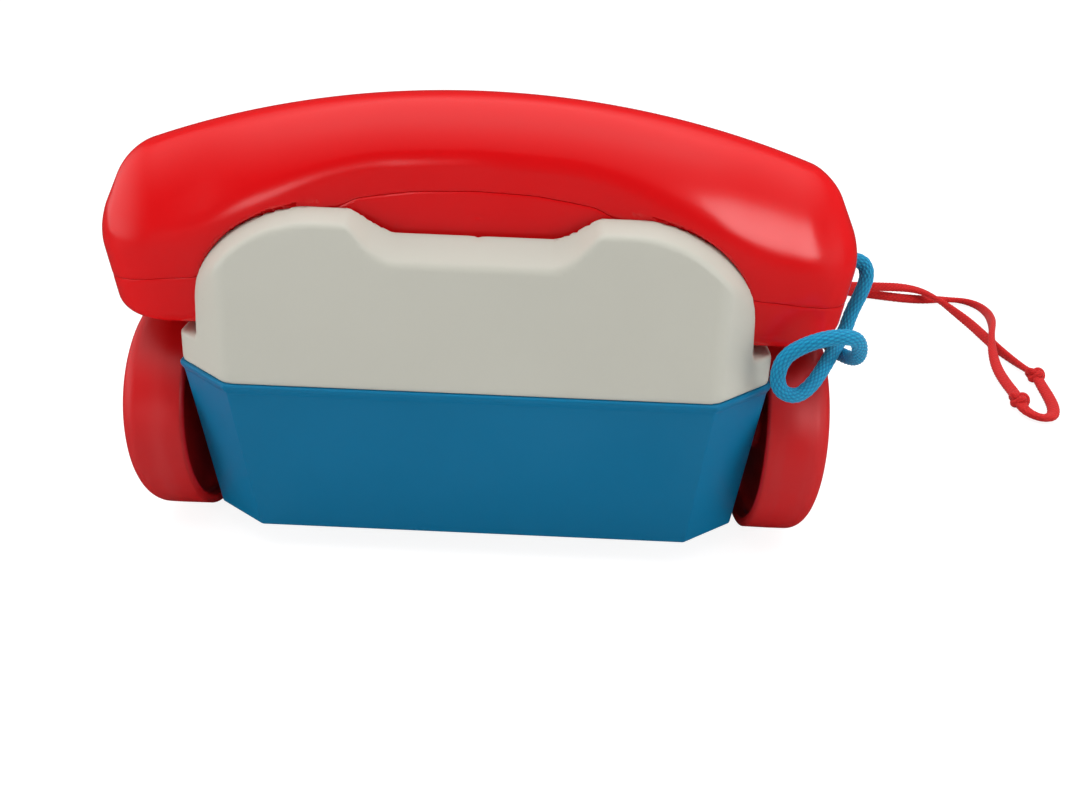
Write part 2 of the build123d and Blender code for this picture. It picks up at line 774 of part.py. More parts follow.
def straddled(grow):
    """Space under the handset: the cradle block between the walls, and the walls themselves."""
    reach = body_width
    gap = straddle_gap + grow
    floor_top = cradle_floor_height + handset_rest_gap + grow
    space = along_y(cradle_front_face(gap, floor_top), -reach, reach)
    walls = cradle_front_face(gap, cradle_wall_height + gap)
    space += along_y(walls, wall_inner_y - grow, reach)
    space += along_y(walls, -reach, front_wall_inner_y + grow)
    return space


def handset_form(inset):
    """Outer form of the handset, or the same form moved inwards by a wall."""
    reach = body_width
    form = along_y(handset_front_face(inset), -reach, reach)
    form = form & along_z(handset_plan_face(inset), 0, handset_top + 1)
    return (form & rounded_arch(inset)) - straddled(inset)


def above_seam():
    """Everything above the seam of the handset."""
    half = handset_length / 2
    right = [(half - inward, cradle_floor_height + rise) for inward, rise in seam_places]
    left = [(-x, z) for x, z in reversed(right)]
    line = Spline(*left, (0, cradle_floor_height + seam_middle), *right)
    tip_x, tip_z = right[-1]
    far, top = handset_length, 2 * handset_top
    rest = Polyline(
        (tip_x, tip_z), (far, tip_z), (far, top), (-far, top), (-far, tip_z), (-tip_x, tip_z)
    )
    face = make_face(Wire([*line.edges(), *rest.edges()]))
    return along_y(face, -body_width, body_width)


def handset_screw_spots():
    """Places of the two handset screws."""
    return [Pos(side * handset_screw_x, handset_y) for side in (-1, 1)]


def cap_spots():
    """Places of the mouth cap, on the left, and the ear cap, on the right."""
    return [Pos(side * cap_x, handset_y) for side in (-1, 1)]


def speaker_cap(spot):
    """Flat cap with a hole in the middle and a ring of holes round it."""
    cap = rod(cap_diameter, end_bottom, end_bottom + cap_thickness)
    for place in [Pos(0, 0), *ring_of(cap_holes, cap_hole_circle)]:
        cap -= place * rod(cap_hole_diameter, end_bottom, end_bottom + cap_thickness)
    return spot * cap


def handset_gland_rod(diameter):
    """Rod through the left tip of the handset."""
    inner = handset_gland_x - 2 * handset_wall
    return rod_x(diameter, -handset_gland_x, -inner, handset_gland_y, handset_gland_z)


def handset_shells():
    """Upper and lower shell of the handset, with screw posts, cap seats and the gland hole."""
    outer = handset_form(0)
    skin = outer - handset_form(handset_wall)
    for spot in cap_spots():
        skin += spot * rod(cap_diameter, end_bottom, end_bottom + cap_thickness + handset_wall) & outer
        skin -= spot * rod(cap_diameter, end_bottom, end_bottom + cap_thickness)
    above = above_seam()
    upper = skin & above
    lower = skin - above
    for spot in handset_screw_spots():
        post = spot * rod(boss_diameter, grip_bottom, handset_top) & outer
        upper += post & above
        lower += post - above
        upper -= spot * rod(screw_diameter, grip_bottom, handset_head_seat + screw_length)
        lower -= spot * rod(screw_diameter, grip_bottom, handset_top)
        lower -= spot * rod(screw_head_diameter, grip_bottom, handset_head_seat)
    hole = handset_gland_rod(gland_neck_diameter)
    return upper - hole, lower - hole


# ---------------------------------------------------------------- glands, grommet and cords
def handset_cord_gland():
    """Gland in the left tip of the handset."""
    return (handset_gland_rod(gland_diameter) - handset_form(0)) + handset_gland_rod(gland_neck_diameter)


def body_cord_gland():
    """Gland in the left side of the base, between the wheels."""
    flange = rod_x(gland_diameter, -gland_face, -gland_inner, 0, body_gland_z)
    flange -= tub(0, underside_height, seam_height)
    return flange + rod_x(gland_neck_diameter, -gland_face, -gland_inner, 0, body_gland_z)


def string_grommet():
    """Grommet in the front wall that holds both strands of the pull string."""
    flange = rod_forwards(grommet_diameter, grommet_inner, grommet_face, grommet_z)
    flange -= tub(0, underside_height, seam_height)
    return flange + rod_forwards(grommet_neck_diameter, grommet_inner, grommet_face, grommet_z)


def by_handset(out, back, rise):
    """Place left of the body's side, back from the middle of the handset, above the body's seam."""
    return (-body_width / 2 - out, handset_y + back, seam_height + rise)


def by_side(out, back, rise):
    """Place left of the body's side, back from the middle of the body, above the body's seam."""
    return (-body_width / 2 - out, back, seam_height + rise)


def ahead(x, out, height):
    """Place in front of the body, at a height above the ground."""
    return (x, -body_depth / 2 - out, height)


# Out of the left tip of the handset, down and forwards, one loop behind the wheel, back to the base
handset_cord_route = [
    (-handset_gland_x, handset_gland_y, handset_gland_z), by_handset(27.1, -8.5, 27.5),
    by_handset(29.3, -7.3, 23.4), by_handset(27.8, -5.5, 18.3), by_handset(25.6, -4, 13),
    by_handset(23.6, -0.5, 8), by_handset(19.5, 6, 5.8), by_handset(15, 13.5, 3.2),
    by_handset(10.5, 20, 0), by_handset(6, 23.7, -1.8), by_handset(1.3, 24.9, 0.3),
    by_handset(-0.7, 25.5, 6), by_handset(0, 26.8, 12.5), by_handset(4.5, 28.5, 17.8),
    by_handset(11, 28.5, 20.5), by_handset(17, 26.5, 19.3), by_handset(21.5, 22, 14.5),
    by_handset(23.9, 16.8, 8.5), by_handset(24.6, 9.5, 4), by_handset(23, -0.5, 1.8),
    by_side(22.4, 35, 0.4), by_side(22.4, 21, -1.5), by_side(18.8, 9.5, -4),
    by_side(11, 0, -8.5), (-gland_face, 0, body_gland_z),
]

# Out of the grommet, over the ground, round the end loop and back again
strand_x = string_spread / 2
string_knot_places = [ahead(-230, -13, 3.6), ahead(-213.8, -37.5, 3.6)]
pull_string_route = [
    (-strand_x, -grommet_face, grommet_z), ahead(-strand_x, 11, grommet_z), ahead(-4.5, 24, 16),
    ahead(-11, 38, 6.5), ahead(-26, 52, 2.6), ahead(-54, 68, 2.1), ahead(-90, 78, 2.4),
    ahead(-126, 81, 4.5), ahead(-155, 78, 7), ahead(-172, 75.5, 7.9), ahead(-188, 76, 8),
    ahead(-202, 78, 7.5), ahead(-211, 75.5, 7), ahead(-217, 67, 5.8), ahead(-221, 55, 4.4),
    ahead(-224, 41, 3.5), ahead(-225, 28, 3), ahead(-226, 15, 2.6), ahead(-228, 4, 2.3),
    ahead(-229.5, -5, 2.5), string_knot_places[0], ahead(-229, -21, 2.6), ahead(-226.5, -32, 2.2),
    ahead(-222.8, -40.5, 2.2), ahead(-219.8, -46, 2.2), ahead(-215.6, -47.4, 2.2),
    ahead(-212.6, -43.8, 2.6), string_knot_places[1], ahead(-215, -29, 2.6), ahead(-215.2, -18, 2.2),
    ahead(-217, -5, 2.4), ahead(-219.8, 7, 4.2), ahead(-223.5, 19, 7), ahead(-229, 31, 7),
    ahead(-234.5, 44, 5), ahead(-238.6, 57, 3.4), ahead(-239, 69, 2.6), ahead(-234, 76.5, 2.3),
    ahead(-223, 77, 2.2), ahead(-211, 75, 2.3), ahead(-198, 76.5, 2.4), ahead(-183, 80.5, 2.4),
    ahead(-160, 86, 2.3), ahead(-125, 90, 2.2), ahead(-90, 88, 2.2), ahead(-56, 79.5, 2.2),
    ahead(-30, 65, 2.3), ahead(-11, 50, 3), ahead(0.5, 37, 7.5), ahead(3.6, 24.5, 16),
    ahead(strand_x, 11, grommet_z), (strand_x, -grommet_face, grommet_z),
]


def cord_tube(name, route, diameter):
    """Round tube along straight runs joined by tangent arcs."""
    points = [Vector(*point) for point in route]
    radii = []
    for before, here, after in zip(points, points[1:], points[2:]):
        turn = (here - before).get_angle(after - here)
        shorter = min((here - before).length, (after - here).length)
        radii.append(0.45 * shorter / tan(radians(turn) / 2))
    path = FilletPolyline(*points, radius=radii)
    section = Plane(origin=points[0], z_dir=points[1] - points[0]) * Circle(diameter / 2)
    tube = sweep(section, path=path)
    expected = pi * diameter**2 / 4 * path.length
    print(f"{name}: length {path.length:.0f} mm, radii {min(radii):.1f} to {max(radii):.0f} mm")
    print(f"{name}: volume over section times length {tube.volume / expected:.4f}")
    return tube


def string_knots(string):
    """Two knots at the end loop, round the string."""
    height = knot_diameter / 2 + knot_ground_gap
    knots = [Pos(x, y, height) * Sphere(knot_diameter / 2) for x, y, _ in string_knot_places]
    return Compound(children=[knot - string for knot in knots])


# ---------------------------------------------------------------- nodes
write("base_shell", base_shell())
write("upper_shell", upper_shell())
for name, y in [("rear", axle_y), ("front", -axle_y)]:
    write(f"{name}_axle", axle(y))
    write(f"{name}_wheel_left", wheel(-1, y))
    write(f"{name}_wheel_right", wheel(1, y))
    write(f"{name}_hub_caps", hub_caps(y))
    write(f"{name}_axle_bushes", bushes(y))
write("clicker_cam", clicker_cam())
write("clicker_reed", clicker_reed())
write("reed_screw", reed_screw())
write("dial", dial())
write("number_plate", number_plate())
write("dial_bush", dial_bush())
write("dial_spindle", dial_spindle())
write("dial_cap", dial_cap())
write("dial_cam", dial_cam())
write("dial_screw", dial_screw())
write("finger_stop", finger_stop())
write("bell_dome", bell_dome())
write("bell_post", bell_post())
write("bell_screw", bell_screw())
write("bell_hammer", bell_hammer())
write("hammer_pin", hammer_pin())
upper, lower = handset_shells()
write("handset_upper_shell", upper)
write("handset_lower_shell", lower)
mouth_spot, ear_spot = cap_spots()
write("mouthpiece_cap", speaker_cap(mouth_spot))
write("earpiece_cap", speaker_cap(ear_spot))
write("handset_screws", screws_up(handset_screw_spots(), handset_head_seat))
write("base_screws", screws_up(body_screw_spots(), head_seat))
write("handset_cord_gland", handset_cord_gland())
write("body_cord_gland", body_cord_gland())
write("string_grommet", string_grommet())
write("handset_cord", cord_tube("handset_cord", handset_cord_route, cord_diameter))
pull_string = cord_tube("pull_string", pull_string_route, string_diameter)
write("pull_string", pull_string)
write("string_knots", string_knots(pull_string))
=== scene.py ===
"""Looks of the pull-along toy telephone: meshes, materials, light and camera, in metres."""
import json
import math

import bmesh
import bpy
import numpy as np
from mathutils import Matrix, Vector


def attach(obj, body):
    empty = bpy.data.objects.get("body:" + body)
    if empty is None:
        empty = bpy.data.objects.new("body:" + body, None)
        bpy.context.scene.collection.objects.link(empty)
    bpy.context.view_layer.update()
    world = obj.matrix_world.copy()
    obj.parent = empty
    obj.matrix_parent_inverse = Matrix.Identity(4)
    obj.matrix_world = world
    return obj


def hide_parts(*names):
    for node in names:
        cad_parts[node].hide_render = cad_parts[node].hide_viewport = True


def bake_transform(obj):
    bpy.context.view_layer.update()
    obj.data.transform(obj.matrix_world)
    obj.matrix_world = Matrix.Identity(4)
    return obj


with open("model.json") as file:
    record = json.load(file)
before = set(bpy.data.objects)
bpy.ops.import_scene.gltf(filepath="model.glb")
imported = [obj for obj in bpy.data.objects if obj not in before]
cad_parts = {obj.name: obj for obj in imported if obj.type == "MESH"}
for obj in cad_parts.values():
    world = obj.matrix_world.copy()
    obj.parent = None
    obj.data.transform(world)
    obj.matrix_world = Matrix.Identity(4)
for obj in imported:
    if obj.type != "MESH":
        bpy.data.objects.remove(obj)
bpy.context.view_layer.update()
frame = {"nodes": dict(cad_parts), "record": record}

bpy.context.scene.view_settings.view_transform = "Standard"
MM = 0.001

# Sizes in millimetres: the forms are worked out in them and scaled by MM when a mesh is made.
BODY_HALF = 80              # half the width and depth of the body at its seam
BODY_SEAM = 60              # height of the seam between the blue base and the white shell
BASE_BOTTOM = 9
BASE_WALL = 2.5             # of the blue base
# Half width and half depth of the base, and the two lengths of its cut corners.
TUB_BOTTOM, TUB_TOP = (77, 71.2, 15, 10.8), (BODY_HALF, BODY_HALF, 16.3, 13.7)
BODY_LEAN = 8               # how far the front and back lean in over LEAN_HEIGHT
LEAN_HEIGHT = 44.5
SHOULDER_HEIGHT = 68        # top of the white shoulders beside the cradle
CRADLE_FLAT = 38.0          # half width of the flat top of the cradle walls
CRADLE_SIDE = 78.0          # height where their sides start to round over
CRADLE_ROUND = (33.5, 27.3)     # half width and height of their rounded upper corners
CRADLE_TOP = 105.3
DIP_HEIGHT = 98.9           # top of the walls in the dip for the fingers
SHELL_WALL = 2.9            # of the white shell
PANEL_TILT = math.radians(21.8557)
PANEL_SIN, PANEL_COS = math.sin(PANEL_TILT), math.cos(PANEL_TILT)
PANEL_MIDDLE = (0, -27.019, 83.635)
HANDSET_Y = 48.5            # middle of the handset and of the pocket under it
HANDSET_TOP = 130
HANDSET_HALF = 101.6        # half its length
HANDSET_WALL = 3.0
AXLE_Y, AXLE_HEIGHT = 38, 33.2


# ---------------------------------------------------------------- small helpers
def add_object(name, data, body=None, material=None):
    """New object in the scene; it rides on a body and takes a material when they are given."""
    piece = bpy.data.objects.new(name, data)
    bpy.context.collection.objects.link(piece)
    if material:
        piece.data.materials.append(material)
    if body:
        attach(piece, body)
    return piece


def mesh_from(name, points, faces):
    """Smooth mesh from points in millimetres."""
    mesh = bpy.data.meshes.new(name)
    mesh.from_pydata((np.asarray(points) * MM).tolist(), [], [list(map(int, f)) for f in faces])
    mesh.validate()
    mesh.shade_smooth()
    return mesh


def even_normals(piece, weight):
    """Shading that follows the large faces of a piece."""
    even = piece.modifiers.new("even", "WEIGHTED_NORMAL")
    even.weight = weight


# ---------------------------------------------------------------- fields (negative inside, millimetres)
def both(a, b, radius):
    """Inside both fields, with the edge between them rounded."""
    corner = np.hypot(np.maximum(a + radius, 0), np.maximum(b + radius, 0))
    return np.minimum(np.maximum(a, b), -radius) + corner


def either(a, b, radius):
    """Inside either field, with the hollow edge between them rounded."""
    return -both(-a, -b, radius)


def without(a, b, radius):
    """Inside the first field and outside the second."""
    return both(a, -b, radius)


def polygonise(field, low, high, cell):
    """Points and quads of the zero surface of a field, with the points moved onto it."""
    axes = [np.arange(a, b + cell, cell) for a, b in zip(low, high)]
    grid = np.meshgrid(*axes, indexing="ij", sparse=True)
    values = np.broadcast_to(field(*grid), [len(a) for a in axes]).astype(np.float64)
    inside = values < 0
    shape = [n - 1 for n in inside.shape]
    total = np.zeros((*shape, 3))
    count = np.zeros(shape)
    for axis in range(3):
        others = [k for k in range(3) if k != axis]
        for da in (0, 1):
            for db in (0, 1):
                start = [slice(None)] * 3
                start[axis] = slice(0, -1)
                for other, shift in zip(others, (da, db)):
                    start[other] = slice(shift, shift + shape[other])
                end = list(start)
                end[axis] = slice(1, None)
                v0, v1 = values[tuple(start)], values[tuple(end)]
                crossing = (v0 < 0) != (v1 < 0)
                share = np.where(crossing, v0 / np.where(crossing, v0 - v1, 1), 0)
                count += crossing
                total[..., axis] += share
                total[..., others[0]] += da * crossing
                total[..., others[1]] += db * crossing
    active = count > 0
    index = np.full(shape, -1)
    index[active] = np.arange(active.sum())
    cells = np.argwhere(active)
    points = (cells + total[active] / count[active][:, None]) * cell + np.array([a[0] for a in axes])
    faces = []
    for axis in range(3):
        o1, o2 = [(1, 2), (2, 0), (0, 1)][axis]
        before, after = [slice(None)] * 3, [slice(None)] * 3
        before[axis], after[axis] = slice(0, -1), slice(1, None)
        a, b = inside[tuple(before)], inside[tuple(after)]
        edges = np.argwhere(a != b)
        edges = edges[(edges[:, o1] > 0) & (edges[:, o2] > 0)]
        edges = edges[(edges[:, o1] < shape[o1]) & (edges[:, o2] < shape[o2])]
        corners = []
        for d1, d2 in ((0, 0), (1, 0), (1, 1), (0, 1)):
            where = edges.copy()
            where[:, o1] -= d1
            where[:, o2] -= d2
            corners.append(index[tuple(where.T)])
        quads = np.stack(corners, axis=1)
        outward = a[tuple(edges.T)]
        quads[~outward] = quads[~outward][:, ::-1]
        faces.append(quads)
    faces = np.concatenate(faces)
    for _ in range(4):
        normal, size, here = gradient(field, points)
        step = np.clip(here / np.maximum(size, 0.2), -cell / 2, cell / 2)
        points = points - normal * step[:, None]
    return points, faces


def gradient(field, points):
    """Unit gradient of a field at points, its size, and the field there."""
    step = 0.02
    x, y, z = points.T
    slopes = [
        (field(x + a, y + b, z + c) - field(x - a, y - b, z - c)) / (2 * step)
        for a, b, c in np.eye(3) * step
    ]
    slopes = np.stack(slopes, axis=1)
    size = np.linalg.norm(slopes, axis=1)
    return slopes / np.maximum(size, 1e-9)[:, None], size, field(x, y, z)


# ---------------------------------------------------------------- camera, floor and light
FOCAL_LENGTH = 30.379
CAMERA_PLACE = (-0.0186, 0.2853, 0.1689)
CAMERA_TURNS = ((180.6, "Z"), (61.9, "X"), (2.2, "Z"))      # degrees
AMBIENT_FAR, AMBIENT_NEAR = 0.9, 0.05   # diffuse light from the far side and from the camera's side
FLOOR_GLOSS = 0.04          # how pale the floor is in reflections


def make_camera():
    """Camera at the photograph's viewing angle."""
    lens = bpy.data.cameras.new("camera")
    lens.lens = FOCAL_LENGTH
    lens.sensor_width = 36
    lens.clip_end = 50
    camera = bpy.data.objects.new("camera", lens)
    bpy.context.collection.objects.link(camera)
    view = Matrix.Translation(CAMERA_PLACE)
    for angle, axis in CAMERA_TURNS:
        view = view @ Matrix.Rotation(math.radians(angle), 4, axis)
    camera.matrix_world = view
    bpy.context.scene.camera = camera


def ramp(nodes, links, value, start, end, low, high):
    """Value mapped from one range to another."""
    node = nodes.new("ShaderNodeMapRange")
    for socket, number in zip(("From Min", "From Max", "To Min", "To Max"), (start, end, low, high)):
        node.inputs[socket].default_value = number
    links.new(value, node.inputs["Value"])
    return node.outputs[0]


def mix_shaders(nodes, links, share, first, second):
    """Mix of two shaders by a value."""
    node = nodes.new("ShaderNodeMixShader")
    for socket, source in zip(node.inputs, (share, first, second)):
        links.new(source, socket)
    return node.outputs[0]


def make_world():
    """White background; diffuse light comes from the far side, and gloss sees a pale ceiling and left wall."""
    world = bpy.data.worlds.new("studio")
    world.use_nodes = True
    bpy.context.scene.world = world
    nodes, links = world.node_tree.nodes, world.node_tree.links
    nodes.clear()
    out = nodes.new("ShaderNodeOutputWorld")
    rays = nodes.new("ShaderNodeLightPath")
    place = nodes.new("ShaderNodeTexCoord")
    split = nodes.new("ShaderNodeSeparateXYZ")
    links.new(place.outputs["Generated"], split.inputs[0])
    ceiling = ramp(nodes, links, split.outputs["Z"], 0.52, 0.85, 0.05, 1.0)
    side = ramp(nodes, links, split.outputs["X"], 0.65, 0.95, 0.05, 0.9)
    room = nodes.new("ShaderNodeMath")
    room.operation = "MAXIMUM"
    links.new(ceiling, room.inputs[0])
    links.new(side, room.inputs[1])
    wide = ramp(nodes, links, split.outputs["Y"], 0.1, 0.6, AMBIENT_FAR, AMBIENT_NEAR)
    plain, glossy, white = [nodes.new("ShaderNodeBackground") for _ in range(3)]
    links.new(wide, plain.inputs["Strength"])
    links.new(room.outputs[0], glossy.inputs["Strength"])
    white.inputs["Strength"].default_value = 1.0
    for shader in (plain, glossy, white):
        shader.inputs["Color"].default_value = (1, 1, 1, 1)
    unseen = mix_shaders(nodes, links, rays.outputs["Is Glossy Ray"], plain.outputs[0], glossy.outputs[0])
    whole = mix_shaders(nodes, links, rays.outputs["Is Camera Ray"], unseen, white.outputs[0])
    links.new(whole, out.inputs[0])


def make_floor():
    """Pale floor that stays almost white for the camera and keeps a faint shadow."""
    half = 3.0
    mesh = bpy.data.meshes.new("floor")
    corners = [(-half, -half, 0), (half, -half, 0), (half, half, 0), (-half, half, 0)]
    mesh.from_pydata(corners, [], [(0, 1, 2, 3)])
    material = bpy.data.materials.new("floor")
    material.use_nodes = True
    nodes, links = material.node_tree.nodes, material.node_tree.links
    nodes.clear()
    out = nodes.new("ShaderNodeOutputMaterial")
    rays = nodes.new("ShaderNodeLightPath")
    bounce, dull, seen = [nodes.new("ShaderNodeBsdfDiffuse") for _ in range(3)]
    bounce.inputs["Color"].default_value = (0.8, 0.8, 0.8, 1)
    dull.inputs["Color"].default_value = (FLOOR_GLOSS, FLOOR_GLOSS, FLOOR_GLOSS, 1)
    seen.inputs["Color"].default_value = (0.9, 0.9, 0.9, 1)
    glow = nodes.new("ShaderNodeEmission")
    glow.inputs["Strength"].default_value = 1.27
    pale = nodes.new("ShaderNodeMixShader")
    pale.inputs[0].default_value = 0.30
    links.new(glow.outputs[0], pale.inputs[1])
    links.new(seen.outputs[0], pale.inputs[2])
    unseen = mix_shaders(nodes, links, rays.outputs["Is Glossy Ray"], bounce.outputs[0], dull.outputs[0])
    whole = mix_shaders(nodes, links, rays.outputs["Is Camera Ray"], unseen, pale.outputs[0])
    links.new(whole, out.inputs[0])
    floor = add_object("floor", mesh, material=material)


def area_lamp(name, place, target, size, radiance, glossy=True, diffuse=True):
    """Rectangular soft lamp that looks at a point; radiance is what the camera would see of it."""
    data = bpy.data.lights.new(name, "AREA")
    data.shape = "RECTANGLE"
    data.size, data.size_y = size
    data.energy = radiance * math.pi * size[0] * size[1]
    lamp = bpy.data.objects.new(name, data)
    bpy.context.collection.objects.link(lamp)
    lamp.location = place
    lamp.rotation_euler = (Vector(target) - Vector(place)).to_track_quat("-Z", "Y").to_euler()
    lamp.visible_glossy = glossy
    lamp.visible_diffuse = diffuse
    lamp.visible_camera = False


make_camera()
make_world()
make_floor()
area_lamp("window", (-0.341, 0.492, 0.328), (-0.075, 0.066, 0.104), (0.19, 0.22), 5.0, diffuse=False)
area_lamp("low", (0.24, 0.72, 0.18), (0.05, 0.066, 0.105), (0.20, 0.12), 3.2, diffuse=False)
area_lamp("right", (-0.66, 0.32, 0.24), (-0.07, 0.07, 0.06), (0.5, 0.3), 3.5, glossy=False)
area_lamp("left", (0.66, 0.32, 0.24), (0.07, 0.07, 0.06), (0.5, 0.3), 3.3, glossy=False)
area_lamp("overhead", (0, 0.04, 1.24), (0, 0.03, 0), (1.3, 1.3), 2.15, glossy=False)


# ---------------------------------------------------------------- materials
def shader_of(name):
    """New material with its principled shader."""
    material = bpy.data.materials.new(name)
    material.use_nodes = True
    nodes = material.node_tree.nodes
    return material, nodes, material.node_tree.links, nodes["Principled BSDF"]


def noise(nodes, links, place, scale, detail=2.0):
    """Noise over the object's own coordinates; the scale is in cells per metre."""
    texture = nodes.new("ShaderNodeTexNoise")
    texture.inputs["Scale"].default_value = scale
    texture.inputs["Detail"].default_value = detail
    links.new(place.outputs["Object"], texture.inputs["Vector"])
    return texture.outputs["Fac"]


def blend_colour(nodes, links, share, first, second):
    """Mix of two colours; either may be a socket or a plain colour."""
    node = nodes.new("ShaderNodeMix")
    node.data_type = "RGBA"
    links.new(share, node.inputs[0])
    for socket, colour in ((node.inputs[6], first), (node.inputs[7], second)):
        if isinstance(colour, tuple):
            socket.default_value = (*colour, 1)
        else:
            links.new(colour, socket)
    return node.outputs[2]


def multiply(nodes, links, a, b):
    """Product of two values."""
    node = nodes.new("ShaderNodeMath")
    node.operation = "MULTIPLY"
    links.new(a, node.inputs[0])
    links.new(b, node.inputs[1])
    return node.outputs[0]


def bump(nodes, links, shader, height, strength, depth):
    """Bump on a shader; the depth is in metres."""
    node = nodes.new("ShaderNodeBump")
    node.inputs["Strength"].default_value = strength
    node.inputs["Distance"].default_value = depth
    links.new(height, node.inputs["Height"])
    links.new(node.outputs[0], shader.inputs["Normal"])
    return node


def plastic(name, colour, roughness, specular, blotch=0.05, grain=0.03, specks=0.0, scuffs=0.3):
    """Moulded plastic: faint blotches, fine grain, small specks, and scuffed patches in its gloss."""
    material, nodes, links, shader = shader_of(name)
    place = nodes.new("ShaderNodeTexCoord")
    wide = noise(nodes, links, place, 22, 3)
    share = ramp(nodes, links, wide, 0.3, 0.7, 0.0, 1.0)
    dark = tuple(c * (1 - blotch) for c in colour)
    light = tuple(min(c * (1 + blotch), 1) for c in colour)
    tone = blend_colour(nodes, links, share, dark, light)
    if specks:
        cells = nodes.new("ShaderNodeTexVoronoi")
        cells.inputs["Scale"].default_value = 70
        links.new(place.outputs["Object"], cells.inputs["Vector"])
        dot = ramp(nodes, links, cells.outputs["Distance"], 0.02, 0.035, 1.0, 0.0)
        pick = nodes.new("ShaderNodeSeparateColor")
        links.new(cells.outputs["Color"], pick.inputs[0])
        chosen = ramp(nodes, links, pick.outputs[0], 0.80, 0.82, 0.0, specks)
        spot = multiply(nodes, links, dot, chosen)
        tone = blend_colour(nodes, links, spot, tone, tuple(c * 0.25 for c in colour))
    links.new(tone, shader.inputs["Base Color"])
    streak = noise(nodes, links, place, 45, 2)
    smooth, rough = roughness - 0.01 - 0.05 * scuffs, roughness + 0.02 + 0.1 * scuffs
    dull = ramp(nodes, links, streak, 0.25, 0.75, smooth, rough)
    links.new(dull, shader.inputs["Roughness"])
    shader.inputs["Specular IOR Level"].default_value = specular
    fine = noise(nodes, links, place, 1400, 2)
    bump(nodes, links, shader, fine, grain, 0.0002)
    return material


def wheel_plastic(name, colour):
    """Dull wheel plastic with scuffs round the tread."""
    material, nodes, links, shader = shader_of(name)
    place = nodes.new("ShaderNodeTexCoord")
    squash = nodes.new("ShaderNodeMapping")
    squash.inputs["Scale"].default_value = (260, 24, 24)
    links.new(place.outputs["Object"], squash.inputs["Vector"])
    streak = nodes.new("ShaderNodeTexNoise")
    streak.inputs["Scale"].default_value = 1.0
    streak.inputs["Detail"].default_value = 4
    links.new(squash.outputs[0], streak.inputs["Vector"])
    share = ramp(nodes, links, streak.outputs["Fac"], 0.45, 0.8, 0.0, 1.0)
    pale = tuple(min(c * 0.92 + 0.010, 1) for c in colour)
    wide = ramp(nodes, links, noise(nodes, links, place, 40, 4), 0.3, 0.75, 0.0, 0.8)
    tone = blend_colour(nodes, links, wide, colour, tuple(c * 0.86 for c in colour))
    tone = blend_colour(nodes, links, share, tone, pale)
    links.new(tone, shader.inputs["Base Color"])
    dull = ramp(nodes, links, streak.outputs["Fac"], 0.3, 0.8, 0.36, 0.46)
    links.new(dull, shader.inputs["Roughness"])
    shader.inputs["Specular IOR Level"].default_value = 0.45
    bump(nodes, links, shader, noise(nodes, links, place, 900, 3), 0.08, 0.0002)
    return material


def steel(name):
    """Drawn steel with fine lines along X."""
    material, nodes, links, shader = shader_of(name)
    place = nodes.new("ShaderNodeTexCoord")
    stretch = nodes.new("ShaderNodeMapping")
    stretch.inputs["Scale"].default_value = (80, 2400, 2400)
    links.new(place.outputs["Object"], stretch.inputs["Vector"])
    lines = nodes.new("ShaderNodeTexNoise")
    lines.inputs["Scale"].default_value = 1.0
    links.new(stretch.outputs[0], lines.inputs["Vector"])
    tone = blend_colour(nodes, links, lines.outputs["Fac"], (0.56, 0.57, 0.59), (0.78, 0.79, 0.80))
    links.new(tone, shader.inputs["Base Color"])
    shader.inputs["Metallic"].default_value = 1.0
    links.new(ramp(nodes, links, lines.outputs["Fac"], 0.3, 0.7, 0.22, 0.38), shader.inputs["Roughness"])
    bump(nodes, links, shader, lines.outputs["Fac"], 0.15, 0.00005)
    return material


def yarn(name, colour, dark, light, roughness):
    """Braided yarn: painted shade between the strands, a painted highlight on their crowns, with fine fibres.
    """
    material, nodes, links, shader = shader_of(name)
    relief = nodes.new("ShaderNodeAttribute")
    relief.attribute_name = "relief"
    place = nodes.new("ShaderNodeTexCoord")
    fibres = noise(nodes, links, place, 2600, 3)
    # painted shade: the base colour darkens towards the hollows between the strands
    low = ramp(nodes, links, relief.outputs["Fac"], 0.0, 0.55, 0.0, 1.0)
    tone = blend_colour(nodes, links, low, dark, colour)
    # painted highlight: the base colour pales on the crowns of the strands
    high = ramp(nodes, links, relief.outputs["Fac"], 0.6, 1.0, 0.0, 0.7)
    tone = blend_colour(nodes, links, high, tone, light)
    # the shade colour also tints random fine fibres, which is the yarn's own tone
    speckle = ramp(nodes, links, fibres, 0.35, 0.65, 0.0, 0.35)
    tone = blend_colour(nodes, links, speckle, tone, dark)
    links.new(tone, shader.inputs["Base Color"])
    shader.inputs["Roughness"].default_value = roughness
    shader.inputs["Specular IOR Level"].default_value = 0.3
    shader.inputs["Sheen Weight"].default_value = 0.08
    shader.inputs["Sheen Roughness"].default_value = 0.4
    bump(nodes, links, shader, fibres, 0.3, 0.0002)
    return material


finish = {
    "red_plastic": plastic("red_plastic", (0.76, 0.003, 0.005), 0.20, 0.5, 0.015, 0.02, scuffs=0.0),
    "red_wheel": wheel_plastic("red_wheel", (0.64, 0.004, 0.006)),
    "white_plastic": plastic("white_plastic", (0.568, 0.561, 0.490), 0.36, 0.4, 0.015, 0.02, specks=0.8),
    "blue_plastic": plastic("blue_plastic", (0.0, 0.165, 0.335), 0.33, 0.22, 0.04, 0.05),
    "yellow_plastic": plastic("yellow_plastic", (0.86, 0.55, 0.03), 0.30, 0.5, 0.03, 0.02),
    "steel": steel("steel"),
    # each yarn's second colour is painted shade in the hollows (also used for its fibres), its third a painted
    # highlight on the crowns
    "blue_cord": yarn("blue_cord", (0.002, 0.29, 0.55), (0.001, 0.09, 0.21), (0.01, 0.47, 0.70), 0.65),
    "red_lace": yarn("red_lace", (0.60, 0.008, 0.008), (0.34, 0.003, 0.004), (0.70, 0.018, 0.014), 0.7),
}
numerals_ink = plastic("numerals_ink", (0.01, 0.02, 0.09), 0.45, 0.4)


